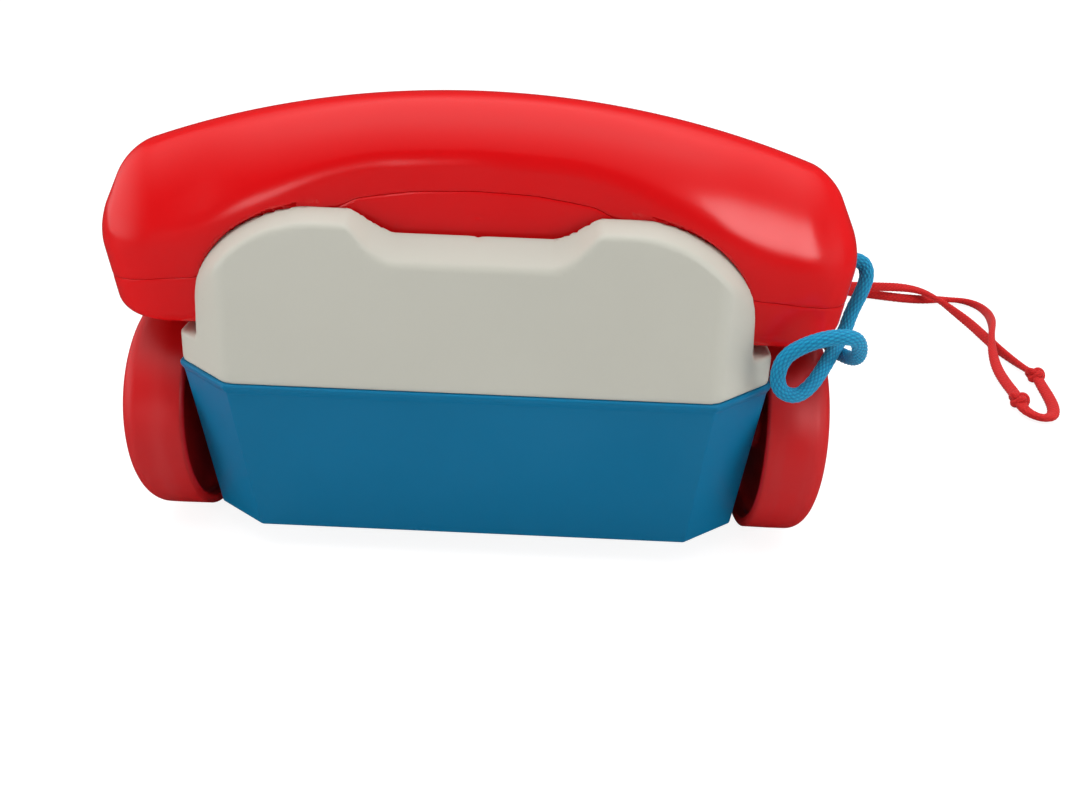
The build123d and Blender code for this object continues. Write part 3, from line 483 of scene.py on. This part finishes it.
# ---------------------------------------------------------------- cords
def route_points(name, route):
    """Points along the smooth line of a cord: a NURBS spline with the route as its control points."""
    curve = bpy.data.curves.new(name, "CURVE")
    curve.dimensions = "3D"
    curve.resolution_u = 24
    spline = curve.splines.new("NURBS")
    spline.points.add(len(route) - 1)
    for point, place in zip(spline.points, route):
        point.co = (*place, 1)
    spline.order_u = 3
    spline.use_endpoint_u = True
    holder = bpy.data.objects.new(name, curve)
    line = bpy.data.meshes.new_from_object(holder)
    points = np.array([vertex.co[:] for vertex in line.vertices])
    bpy.data.objects.remove(holder)
    return points


def evenly(points, step):
    """The same line with points at even steps, and the distance along it."""
    run = np.concatenate([[0], np.cumsum(np.linalg.norm(np.diff(points, axis=0), axis=1))])
    keep = np.concatenate([[True], np.diff(run) > 1e-9])
    run, points = run[keep], points[keep]
    along = np.linspace(0, run[-1], int(run[-1] / step) + 1)
    return np.stack([np.interp(along, run, points[:, k]) for k in range(3)], axis=1), along


def unit(vectors):
    """The same directions with length 1."""
    return vectors / np.maximum(np.linalg.norm(vectors, axis=1), 1e-6)[:, None]


def free_sides(points):
    """Two cross directions along a line that don't twist round it."""
    tangent = unit(np.gradient(points, axis=0))
    first = np.cross(tangent[0], (0, 0, 1) if abs(tangent[0][2]) < 0.9 else (1, 0, 0))
    sides = []
    for t in tangent:
        first = first - t * first.dot(t)
        first /= np.linalg.norm(first)
        sides.append(first)
    side = np.array(sides)
    return side, np.cross(side, tangent)


def level_sides(tangent):
    """Two cross directions for each tangent, the first of them level."""
    side = unit(np.cross(tangent, (0, 0, 1.0)))
    return side, np.cross(side, tangent)


def tube_mesh(name, rings, closed=False):
    """Closed tube through rings of points."""
    count, sides = rings.shape[:2]
    points = rings.reshape(-1, 3)
    index = np.arange(count * sides).reshape(count, sides)
    after = np.roll(index, -1, axis=1)
    ahead = np.roll(index, -1, axis=0)
    ahead_after = np.roll(after, -1, axis=0)
    quads = np.stack([index, after, ahead_after, ahead], axis=2)
    quads = (quads if closed else quads[:-1]).reshape(-1, 4)
    faces = quads.tolist()
    if not closed:
        faces += [index[0][::-1].tolist(), index[-1].tolist()]
    mesh = bpy.data.meshes.new(name)
    mesh.from_pydata(points.tolist(), [], faces)
    mesh.shade_smooth()
    return mesh


def set_relief(mesh, values):
    """Height of the weave at each point, for the yarn material."""
    layer = mesh.attributes.new("relief", "FLOAT", "POINT")
    layer.data.foreach_set("value", np.asarray(values, dtype=np.float32).ravel())


def braid_height(turn, along, strands, pitch):
    """Height of a round braid, from 0 in the hollows to 1 on the crowns of its strands."""
    left = np.abs(np.cos((strands * turn + 2 * math.pi * along / pitch) / 2))
    right = np.abs(np.cos((strands * turn - 2 * math.pi * along / pitch) / 2))
    return np.sqrt(left * right)


def full_turn(steps):
    """Angles round a circle, as a row."""
    return np.linspace(0, 2 * math.pi, steps, endpoint=False)[None, :]


def round_rings(points, side, normal, reach, turn):
    """Rings round a line, at a reach that changes with the angle."""
    outward = np.cos(turn)[..., None] * side[:, None] + np.sin(turn)[..., None] * normal[:, None]
    return points[:, None] + reach[..., None] * outward


handset_cord_route = [
    (-0.1024, 0.0400, 0.0875), (-0.1071, 0.0400, 0.0875), (-0.1093, 0.0412, 0.0834),
    (-0.1078, 0.0430, 0.0783), (-0.1056, 0.0445, 0.0730), (-0.1036, 0.0480, 0.0680),
    (-0.0995, 0.0545, 0.0658), (-0.0950, 0.0620, 0.0632), (-0.0905, 0.0685, 0.0609),
    (-0.0860, 0.0722, 0.0594), (-0.0813, 0.0734, 0.0613), (-0.0793, 0.0740, 0.0660),
    (-0.0800, 0.0753, 0.0725), (-0.0845, 0.0770, 0.0770), (-0.0910, 0.0770, 0.0793),
    (-0.0970, 0.0750, 0.0784), (-0.1004, 0.0705, 0.0742), (-0.1027, 0.0653, 0.0688),
    (-0.1038, 0.0580, 0.0646), (-0.1030, 0.0480, 0.0618), (-0.1024, 0.0350, 0.0604),
    (-0.1024, 0.0210, 0.0585), (-0.0988, 0.0095, 0.0560), (-0.0910, 0.0000, 0.0515),
    (-0.0840, 0.0000, 0.0515),
]
pull_string_route = [
    (-0.0023, -0.07744, 0.0220), (-0.0023, -0.0910, 0.0220), (-0.0045, -0.1040, 0.0160),
    (-0.0110, -0.1180, 0.0065), (-0.0260, -0.1320, 0.0026), (-0.0540, -0.1480, 0.0021),
    (-0.0900, -0.1580, 0.0024), (-0.1260, -0.1610, 0.0045), (-0.1550, -0.1580, 0.0070),
    (-0.1720, -0.1555, 0.0079), (-0.1880, -0.1560, 0.0080), (-0.2020, -0.1580, 0.0075),
    (-0.2110, -0.1555, 0.0070), (-0.2170, -0.1470, 0.0058), (-0.2210, -0.1350, 0.0044),
    (-0.2240, -0.1210, 0.0035), (-0.2250, -0.1080, 0.0030), (-0.2260, -0.0950, 0.0026),
    (-0.2280, -0.0840, 0.0023), (-0.2295, -0.0750, 0.0025), (-0.2300, -0.0670, 0.0036),
    (-0.2290, -0.0590, 0.0026), (-0.2272, -0.0480, 0.0022), (-0.2246, -0.0385, 0.0022),
    (-0.2205, -0.0312, 0.0022), (-0.2152, -0.0300, 0.0022), (-0.2112, -0.0350, 0.0026),
    (-0.2117, -0.0425, 0.0036), (-0.2138, -0.0510, 0.0026), (-0.2150, -0.0620, 0.0022),
    (-0.2170, -0.0750, 0.0024), (-0.2198, -0.0870, 0.0042), (-0.2235, -0.0990, 0.0070),
    (-0.2290, -0.1110, 0.0070), (-0.2345, -0.1240, 0.0050), (-0.2386, -0.1370, 0.0034),
    (-0.2390, -0.1490, 0.0026), (-0.2340, -0.1565, 0.0023), (-0.2230, -0.1570, 0.0022),
    (-0.2110, -0.1550, 0.0023), (-0.1980, -0.1565, 0.0024), (-0.1830, -0.1605, 0.0024),
    (-0.1600, -0.1660, 0.0023), (-0.1250, -0.1700, 0.0022), (-0.0900, -0.1680, 0.0022),
    (-0.0560, -0.1595, 0.0022), (-0.0300, -0.1450, 0.0023), (-0.0110, -0.1300, 0.0030),
    (0.0005, -0.1170, 0.0075), (0.0036, -0.1045, 0.0160), (0.0023, -0.0910, 0.0220),
    (0.0023, -0.07744, 0.0220),
]
knot_places = [(-0.2298, -0.0670), (-0.2119, -0.0425)]
KNOT_HEIGHT = 0.0036


def make_handset_cord():
    """Braided cord from the handset to the side of the body."""
    radius, relief, strands, pitch = 0.00205, 0.00026, 12, 0.0026
    line = route_points("handset_cord_line", handset_cord_route)
    points, along = evenly(line, 0.00028)
    side, normal = free_sides(points)
    turn = full_turn(72)
    height = braid_height(turn, along[:, None], strands, pitch)
    rings = round_rings(points, side, normal, radius - relief * (1 - height), turn)
    mesh = tube_mesh("handset_cord", rings)
    set_relief(mesh, height)
    piece = add_object("braided_handset_cord", mesh, material=finish["blue_cord"])
    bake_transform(piece)
    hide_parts("handset_cord")


def lace_knot(number, place):
    """Overhand knot in the lace, drawn tight."""
    name = f"lace_knot_{number}"
    radius, relief, strands, weaves = 0.00165, 0.00016, 6, 12
    t = full_turn(120)[0]
    x, y, z = np.sin(t) + 2 * np.sin(2 * t), np.cos(t) - 2 * np.cos(2 * t), -np.sin(3 * t)
    angle = 0.7 + 1.9 * number
    turned_x = x * math.cos(angle) - y * math.sin(angle)
    turned_y = x * math.sin(angle) + y * math.cos(angle)
    knot = np.stack([turned_x, turned_y, z], axis=1)
    points = knot * (0.00092, 0.00092, 0.0012) + (*place, KNOT_HEIGHT)
    looped = np.concatenate([points[-1:], points, points[:1]])
    side, normal = level_sides(unit(looped[2:] - looped[:-2]))
    turn = full_turn(28)
    along = np.cumsum(np.linalg.norm(np.diff(looped[1:], axis=0), axis=1))[:, None]
    height = braid_height(turn, along, strands, along[-1, 0] / weaves)
    rings = round_rings(points, side, normal, radius - relief * (1 - height), turn)
    mesh = tube_mesh(name, rings, closed=True)
    set_relief(mesh, height)
    return add_object(name, mesh, "body", finish["red_lace"])


def make_pull_string():
    """Flat lace that turns over now and then, doubled through the grommet at the front."""
    half_width, half_depth, strands, pitch = 0.0023, 0.0014, 8, 0.0022
    line = route_points("pull_string_line", pull_string_route)
    points, along = evenly(line, 0.0004)
    side, normal = level_sides(unit(np.gradient(points, axis=0)))
    roll = 0.9 * np.sin(along / 0.021) + 1.1 * np.sin(along / 0.047 + 1.0)
    reach = np.hypot(half_width * np.sin(roll), half_depth * np.cos(roll))
    points[:, 2] = np.maximum(points[:, 2], reach + 0.0002)
    roll = roll[:, None, None]
    side, normal = side[:, None], normal[:, None]
    across = np.cos(roll) * side + np.sin(roll) * normal
    through = -np.sin(roll) * side + np.cos(roll) * normal
    turn = full_turn(32)
    height = braid_height(turn, along[:, None], strands, pitch)
    swell = 1 - 0.10 * (1 - height)
    wide = (half_width * np.sign(np.cos(turn)) * np.abs(np.cos(turn)) ** 0.8)[..., None]
    thick = (half_depth * np.sign(np.sin(turn)) * np.abs(np.sin(turn)) ** 0.8)[..., None]
    rings = points[:, None] + swell[..., None] * (wide * across + thick * through)
    mesh = tube_mesh("pull_string", rings)
    set_relief(mesh, height)
    piece = add_object("flat_pull_string", mesh, "body", finish["red_lace"])
    knots = [lace_knot(number, place) for number, place in enumerate(knot_places)]
    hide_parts("pull_string")
    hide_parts("string_knots")


make_handset_cord()
make_pull_string()


# ---------------------------------------------------------------- forms, in millimetres
def smooth_step(value, start, end):
    """Smooth rise from 0 to 1 between two values."""
    share = np.clip((value - start) / (end - start), 0, 1)
    return share * share * (3 - 2 * share)


def arched(across, rise, wide, high):
    """Distance from half an ellipse that stands on straight sides."""
    rise = np.maximum(rise, 0)
    near = np.hypot(across / wide, rise / high)
    slope = np.hypot(across / wide**2, rise / high**2)
    return near * (near - 1) / np.maximum(slope, 1e-6)


def along_line(x, places, heights, reach, samples):
    """Height along a line that bends smoothly at its places, by a mean over a reach to both sides."""
    soft = [np.interp(x + shift, places, heights) for shift in np.linspace(-reach, reach, samples)]
    return sum(soft) / len(soft)


def cradle_outline(x, z):
    """Front view of the cradle block: straight sides and rounded upper corners."""
    spread = 0.06
    wide, high = CRADLE_ROUND
    out, up = np.abs(x) - CRADLE_FLAT - spread * np.maximum(CRADLE_TOP - z, 0), z - CRADLE_SIDE
    flat = np.maximum(out - wide, up - high)
    rounded = arched(np.maximum(out, 0), up, wide, high)
    return np.where((out > 0) | (up > 0), rounded, flat)


def wall_top(x):
    """Height of the top of the cradle walls, with the dip for the fingers."""
    return DIP_HEIGHT + (CRADLE_TOP - DIP_HEIGHT) * smooth_step(np.abs(x), 19, 33.5)


def handset_seam(x, y):
    """Height of the seam between the handset shells; behind the cradle walls its outside drops away."""
    x = np.minimum(np.abs(x), 103)
    places = [0, 15, 30, 40, 50, 62, 66, 70, 73, 80, 92, 103]
    middle = [108.8, 108.2, 106, 102.5, 99.5, 98.2, 96.6, 91.5, 85.5, 83.8, 82.4, 79.8]
    outside = [108.8, 108.2, 106, 101, 97, 91, 88, 85, 84.2, 83.8, 82.4, 79.8]
    inner, outer = [along_line(x, places, heights, 1.5, 7) for heights in (middle, outside)]
    share = smooth_step(np.abs(y - HANDSET_Y), 13, 16)
    return inner + (outer - inner) * share


def ridge_height(x):
    """Height of the ridge between the upright side of the handset and its slanted flank."""
    places = [0, 25, 35, 43, 50, 57, 63, 68, 73, 80, 90]
    heights = [117.2, 115.6, 113.6, 111.2, 108.4, 105.6, 102.3, 99.3, 96.8, 95.0, 94.5]
    return along_line(np.abs(x), places, heights, 4, 9)


def straddled(x, y, z):
    """The space under the handset that the cradle's walls and the floor of its dip take up."""
    overlap, grip_height, wall_start = 0.35, 96.3, 17.5
    outline = cradle_outline(x, z) + overlap
    floor = np.maximum(outline, z - grip_height)
    walls = np.maximum(outline, wall_start - np.abs(y - HANDSET_Y))
    return np.minimum(floor, walls)


def mould_mark(x, y, z, middle, squares, size):
    """Small ellipsoid, for a shallow mark."""
    reach = sum((value - centre) ** 2 / square for value, centre, square in zip((x, y, z), middle, squares))
    return size * (np.sqrt(reach) - 1)


def handset_form(x, y, z):
    """Whole handset: domed top, slanted flank down to a ridge, upright side, hollow underneath."""
    along, across = np.abs(x), np.abs(y - HANDSET_Y)
    widen = smooth_step(along, 20, 66)
    half = 16.5 + 5 * widen
    round_end = 20
    out, aside = along - (HANDSET_HALF - round_end), across - half + round_end
    corner = np.hypot(np.maximum(out, 0), np.maximum(aside, 0))
    plan = corner + np.minimum(np.maximum(out, aside), 0) - round_end
    ridge = ridge_height(x)
    flank_lean, flank_scale, side_lean = 0.53, 0.883, 0.09
    flank = flank_scale * (plan + flank_lean * (z - ridge))
    side = plan + side_lean * smooth_step(along, 50, 75) * np.maximum(ridge - z, 0)
    form = both(side, flank, 1.8 + 1.2 * widen)
    arch = 260.0
    crown = HANDSET_TOP - arch + np.sqrt(arch**2 - np.minimum(along, 120) ** 2)
    wide, high = 17.5 + 3.5 * widen, 16 + 12 * widen
    form = both(form, arched(across, z - crown + high, wide, high), 4)
    underside = 70.1
    form = both(form, underside - z, 5)
    form = without(form, straddled(x, y, z), 0.5)
    form = without(form, mould_mark(x, y, z, (-0.8, 65.6, 102.4), (6, 2, 1.2), 1.6), 0.4)
    cap_place, cap_radius, cap_top = 88, 10.1, 71.2
    screw_place, screw_radius, screw_top = 34, 3.2, 98.3
    caps = np.maximum(np.hypot(along - cap_place, across) - cap_radius, z - cap_top)
    screws = np.maximum(np.hypot(along - screw_place, across) - screw_radius, z - screw_top)
    return np.maximum(form, -np.minimum(caps, screws))


def handset_skin(x, y, z):
    """Wall of the handset, with a shallow groove along its seam."""
    form = handset_form(x, y, z)
    groove_half, groove_depth = 0.9, 0.22
    near = np.maximum(0, 1 - np.abs(z - handset_seam(x, y)) / groove_half)
    return np.maximum(form + groove_depth * near**2, -(form + HANDSET_WALL))


def cut_corner_prism(x, y, z):
    """Upright prism with cut corners whose front and back lean in."""
    along, across = np.abs(x), np.abs(y)
    half = BODY_HALF - BODY_LEAN * (z - BODY_SEAM) / LEAN_HEIGHT
    cut_x, cut_y = TUB_TOP[2:]
    cut = (cut_y * (along - (BODY_HALF - cut_x)) + cut_x * (across - half)) / math.hypot(cut_x, cut_y)
    return both(both(along - BODY_HALF, across - half, 1.2), cut, 1.6)


def sloping_crest(x, y, z):
    """Top and sides of the cradle walls; the back wall slopes down to a ridge round its back face."""
    back = np.abs(y) - BODY_HALF + BODY_LEAN * (z - BODY_SEAM) / LEAN_HEIGHT
    outline = cradle_outline(x, z)
    bevel_out, bevel_back = 7.5, 4.2
    bevel = bevel_out * outline + bevel_back * back + bevel_out * bevel_back
    corner = bevel / math.hypot(bevel_out, bevel_back)
    fall = 0.9 - 0.42 * smooth_step(np.abs(x), 25, 33)
    step = 0.05
    rise = (wall_top(x + step) - wall_top(x - step)) / (2 * step)
    strip = (z - wall_top(x) + fall * np.maximum(back + bevel_out, 0)) / np.sqrt(1 + rise**2 + fall**2)
    return both(np.maximum(outline, corner), strip, 0.8)


def upper_form(x, y, z):
    """White shell as a solid: shoulders, cradle walls, pocket, dip and dial panel."""
    panel_front = -66
    panel = -PANEL_SIN * (y - panel_front) + PANEL_COS * (z - SHOULDER_HEIGHT)
    block = both(sloping_crest(x, y, z), panel, 2.0)
    pocket_front, pocket_back, pocket_floor = 31, 66, 96
    pocket = np.maximum(np.maximum(pocket_front - y, y - pocket_back), pocket_floor - z)
    block = without(block, pocket, 0.8)
    mark = mould_mark(x, y, z, (-0.8, 67.6, 98.6), (6, 2, 1.5), 1.4)
    top = either(z - SHOULDER_HEIGHT, without(block, mark, 0.3), 1.2)
    return both(cut_corner_prism(x, y, z), top, 1.0)


def upper_skin(x, y, z):
    """Wall of the white shell, with the hole for the bush of the dial."""
    form = upper_form(x, y, z)
    groove_height, groove_depth, bush_radius = 1.0, 0.3, 5.15
    groove = groove_depth * np.maximum(0, 1 - (z - BODY_SEAM) / groove_height) ** 2
    _, middle_y, middle_z = PANEL_MIDDLE
    climb = PANEL_COS * (y - middle_y) + PANEL_SIN * (z - middle_z)
    bush_hole = bush_radius - np.hypot(x, climb)
    return np.maximum(np.maximum(form + groove, -(form + SHELL_WALL)), bush_hole)


def cut_shell(name, field, box, cell, line, keep, gap):
    """Mesh of a field's surface above (keep 1) or below (keep -1) a height line, closed with a rim."""
    rim_band, weld_reach = 0.45 * MM, 0.3 * MM
    points, faces = polygonise(field, *box, cell)
    points[:, 2] -= line(points[:, 0], points[:, 1])
    mesh = mesh_from(name, points, faces)
    built = bmesh.new()
    built.from_mesh(mesh)
    everything = built.verts[:] + built.edges[:] + built.faces[:]
    bmesh.ops.bisect_plane(built, geom=everything, dist=1e-7, plane_co=(0, 0, keep * gap * MM),
                           plane_no=(0, 0, 1), clear_inner=keep > 0, clear_outer=keep < 0)
    rim = [v for v in built.verts if v.is_boundary]
    others = [v for v in built.verts if abs(v.co.z - keep * gap * MM) < rim_band]
    doubles = bmesh.ops.find_doubles(built, verts=others, keep_verts=rim, dist=weld_reach)
    bmesh.ops.weld_verts(built, targetmap=doubles["targetmap"])
    edges = [e for e in built.edges if e.is_boundary]
    flat = built.faces.layers.int.new("flat")
    old = set(built.faces)
    bmesh.ops.triangle_fill(built, edges=edges, normal=(0, 0, -keep), use_beauty=True)
    for face in built.faces:
        face[flat] = int(face not in old)
    bmesh.ops.recalc_face_normals(built, faces=built.faces[:])
    places = np.array([vert.co[:] for vert in built.verts]) / MM
    for vert, rise in zip(built.verts, line(places[:, 0], places[:, 1])):
        vert.co.z += float(rise) * MM
    built.to_mesh(mesh)
    built.free()
    soften(mesh, field)
    return mesh


def soften(mesh, field):
    """Normals from the field, except on the flat rim and where they stray from the face's own."""
    least_match = 0.35
    count = len(mesh.vertices)
    places = np.empty(count * 3)
    mesh.vertices.foreach_get("co", places)
    normal, _, _ = gradient(field, places.reshape(-1, 3) / MM)
    flat = np.zeros(len(mesh.polygons), dtype=np.int32)
    mesh.attributes["flat"].data.foreach_get("value", flat)
    totals = np.empty(len(mesh.polygons), dtype=np.int32)
    mesh.polygons.foreach_get("loop_total", totals)
    corners = np.empty(len(mesh.loops), dtype=np.int32)
    mesh.loops.foreach_get("vertex_index", corners)
    own = np.empty(len(mesh.polygons) * 3)
    mesh.polygons.foreach_get("normal", own)
    own = np.repeat(own.reshape(-1, 3), totals, axis=0)
    chosen = normal[corners]
    astray = (chosen * own).sum(axis=1) < least_match
    hard = np.repeat(flat.astype(bool), totals) | astray
    chosen[hard] = own[hard]
    mesh.polygons.foreach_set("use_smooth", np.ones(len(mesh.polygons), dtype=bool))
    mesh.normals_split_custom_set(chosen.tolist())
    mesh.attributes.remove(mesh.attributes["flat"])


def make_handset():
    """Upper and lower shell of the handset."""
    cell = 0.85
    box = (-105.3, 24.3, 67.3), (105.3, 72.7, 132.3)
    for name, keep, node in (("handset_top", 1, "handset_upper_shell"),
                             ("handset_under", -1, "handset_lower_shell")):
        mesh = cut_shell(name, handset_skin, box, cell, handset_seam, keep, gap=0.07)
        piece = add_object(name, mesh, "handset", finish["red_plastic"])
        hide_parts(node)


def body_seam(x, y):
    """Height of the level seam between the white shell and the blue base."""
    return np.full(np.shape(x), float(BODY_SEAM))


def make_upper_shell():
    """White shell of the body."""
    cell = 1.0
    box = (-82.3, -82.3, 55.3), (82.3, 82.3, 107.3)
    mesh = cut_shell("cradle_shell", upper_skin, box, cell, body_seam, keep=1, gap=0.12)
    piece = add_object("cradle_shell", mesh, "body", finish["white_plastic"])
    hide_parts("upper_shell")


make_handset()
make_upper_shell()


# ---------------------------------------------------------------- blue base
def rounded_corner(before, here, after, radius, steps):
    """Points of the arc that rounds one corner of an outline."""
    before, here, after = [np.asarray(point, dtype=float) for point in (before, here, after)]
    a, b = before - here, after - here
    a, b = a / np.linalg.norm(a), b / np.linalg.norm(b)
    half = math.acos(np.clip(a.dot(b), -1, 1)) / 2
    reach = radius / math.tan(half)
    middle = here + (a + b) / np.linalg.norm(a + b) * radius / math.sin(half)
    start, end = here + a * reach - middle, here + b * reach - middle
    sweep = math.pi - 2 * half
    return [middle + (math.sin((1 - t) * sweep) * start + math.sin(t * sweep) * end) / math.sin(sweep)
            for t in np.linspace(0, 1, steps)]


def rounded_outline(corners, radii, steps):
    """Closed outline with each corner rounded by its own radius; a radius of 0 leaves it sharp."""
    points = []
    for number, (here, radius, count) in enumerate(zip(corners, radii, steps)):
        if radius:
            after = corners[(number + 1) % len(corners)]
            points += rounded_corner(corners[number - 1], here, after, radius, count)
        else:
            points.append(np.array(here, dtype=float))
    return np.array(points)


def tub_ring(height, inset, radius):
    """Outline of the base at a height, moved inwards."""
    share = (height - BASE_BOTTOM) / (BODY_SEAM - BASE_BOTTOM)
    x, y, cut_x, cut_y = [low + (high - low) * share for low, high in zip(TUB_BOTTOM, TUB_TOP)]
    x, y, cut_x, cut_y = x - inset, y - inset, cut_x - 0.28 * inset, cut_y - 0.45 * inset
    quarter = [(x, y - cut_y), (x - cut_x, y)]
    corners = quarter + [(-a, b) for a, b in reversed(quarter)]
    corners += [(-a, -b) for a, b in quarter] + [(a, -b) for a, b in reversed(quarter)]
    ring = rounded_outline(corners, [radius] * len(corners), [5] * len(corners))
    return np.column_stack([ring, np.full(len(ring), height)])


def tub_rings():
    """Outlines of the base: soft bottom edge, outside, bead round the rim, and inside down to the floor."""
    soft, outside, inside = 1.1, 1.3, 1.0
    rings = [tub_ring(BASE_BOTTOM + soft * (1 - math.cos(t)), soft * (1 - math.sin(t)), outside)
             for t in np.linspace(0, math.pi / 2, 5)]
    rim = 59.88
    bead = [(56.6, 0), (57.4, -0.12), (58.0, -0.42), (58.5, -0.55), (59.2, -0.55), (59.6, -0.4), (rim, 0.0)]
    rings += [tub_ring(height, inset, outside) for height, inset in bead]
    hollow = [(rim, 2.3), (59.0, BASE_WALL), (13, BASE_WALL), (11.6, 3.6)]
    rings += [tub_ring(height, inset, inside) for height, inset in hollow]
    return np.array(rings)


def drill(cutters, place, radius, depth, turn_axis):
    """Adds a cylinder that is turned from upright about an axis."""
    matrix = Matrix.Translation(Vector(place) * MM) @ Matrix.Rotation(math.pi / 2, 4, turn_axis)
    bmesh.ops.create_cone(cutters, cap_ends=True, segments=48, radius1=radius * MM, radius2=radius * MM,
                          depth=depth * MM, matrix=matrix)


def make_base():
    """Blue tub with soft edges, a thin bead round its rim, and holes for bushes, gland and grommet."""
    holder = add_object("base_form", tube_mesh("base", tub_rings() * MM))
    cutters = bmesh.new()
    for side in (-1, 1):
        for y in (-AXLE_Y, AXLE_Y):
            drill(cutters, (side * 78, y, AXLE_HEIGHT), 4.55, 14, "Y")
    drill(cutters, (-79, 0, 51.5), 2.6, 14, "Y")
    drill(cutters, (0, -74, 22), 4.1, 14, "X")
    cut_mesh = bpy.data.meshes.new("base_holes")
    cutters.to_mesh(cut_mesh)
    cutters.free()
    cutter = add_object("base_holes", cut_mesh)
    trim = holder.modifiers.new("holes", "BOOLEAN")
    trim.object = cutter
    trim.solver = "EXACT"
    shape = bpy.data.meshes.new_from_object(holder.evaluated_get(bpy.context.evaluated_depsgraph_get()))
    bpy.data.objects.remove(holder)
    bpy.data.objects.remove(cutter)
    shape.name = "base_tub"
    shape.materials.clear()
    piece = add_object("base_tub", shape, "body", finish["blue_plastic"])
    shape.shade_smooth()
    even_normals(piece, 80)
    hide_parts("base_shell")


make_base()


# ---------------------------------------------------------------- wheels
def lathe(name, profile, side, place, steps=96):
    """Mesh turned round X; the profile lists distance outwards and radius."""
    turn = full_turn(steps)
    rings = np.stack([
        np.broadcast_to(side * profile[:, :1], (len(profile), steps)),
        profile[:, 1:] * np.cos(turn),
        profile[:, 1:] * np.sin(turn),
    ], axis=2)
    rings = (rings + place) * MM
    return tube_mesh(name, rings if side < 0 else rings[:, ::-1], closed=True)


def wheel_profile():
    """Half section of a wheel, from its inner side out: distance outwards and radius."""
    width, face, hub, hollow = 18, 15, 15.5, 4
    tread, bore = 33.1, 2.56
    corners = [
        (0.6, tread, 0), (8.6, 33.2, 0), (width, tread, 5.0), (width, 25.4, 0.8), (16.6, 24.2, 0),
        (face, 21.8, 1.2), (face, 13, 0.5), (hub, 12.2, 0.4), (hub, 9.6, 0.5), (face, bore, 0),
        (0, bore, 0), (0, 8, 0.6), (hollow, 8, 1.0), (hollow, 30.2, 1.0), (0, 30.2, 0.5),
    ]
    places = [(x, y) for x, y, _ in corners]
    radii = [radius for _, _, radius in corners]
    return rounded_outline(places, radii, [9 if radius > 2 else 4 for radius in radii])


def make_wheels():
    """Four wheels with a rounded outer edge, a hollow back and a stepped, dished face."""
    profile = wheel_profile()
    inner_side = 81.5
    for end, y in (("rear", AXLE_Y), ("front", -AXLE_Y)):
        for word, side in (("left", -1), ("right", 1)):
            mesh = lathe(f"{end}_{word}_wheel", profile, side, (side * inner_side, y, AXLE_HEIGHT))
            piece = add_object(mesh.name, mesh, f"{end}_wheels", finish["red_wheel"])
            even_normals(piece, 60)
            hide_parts(f"{end}_wheel_{word}")


make_wheels()


# ---------------------------------------------------------------- dial numbers and the CAD pieces that stay
def make_numbers():
    """Plain figures on the plate, one under each finger hole."""
    hole_ring, plate_height = 0.0244, 0.00107
    plate = Matrix.Translation(Vector(PANEL_MIDDLE) * MM) @ Matrix.Rotation(PANEL_TILT, 4, "X")
    for hole in range(10):
        name = f"figure_{hole}"
        angle = math.radians(60 + 30 * hole)
        spot = Matrix.Translation((hole_ring * math.cos(angle), hole_ring * math.sin(angle), plate_height))
        text = bpy.data.curves.new(name, "FONT")
        text.body = str((hole + 1) % 10)
        text.size = 0.0074
        text.align_x, text.align_y = "CENTER", "CENTER"
        text.extrude = 0.00004
        holder = bpy.data.objects.new(name, text)
        mesh = bpy.data.meshes.new_from_object(holder)
        mesh.transform(plate @ spot)
        bpy.data.objects.remove(holder)
        mesh.name = name
        mesh.materials.clear()
        add_object(name, mesh, "body", numerals_ink)


make_numbers()
for row in frame["record"]["subparts"]:
    surface = frame["nodes"][row["node"]].data.materials
    surface.clear()
    surface.append(finish[row["material_slot"]])
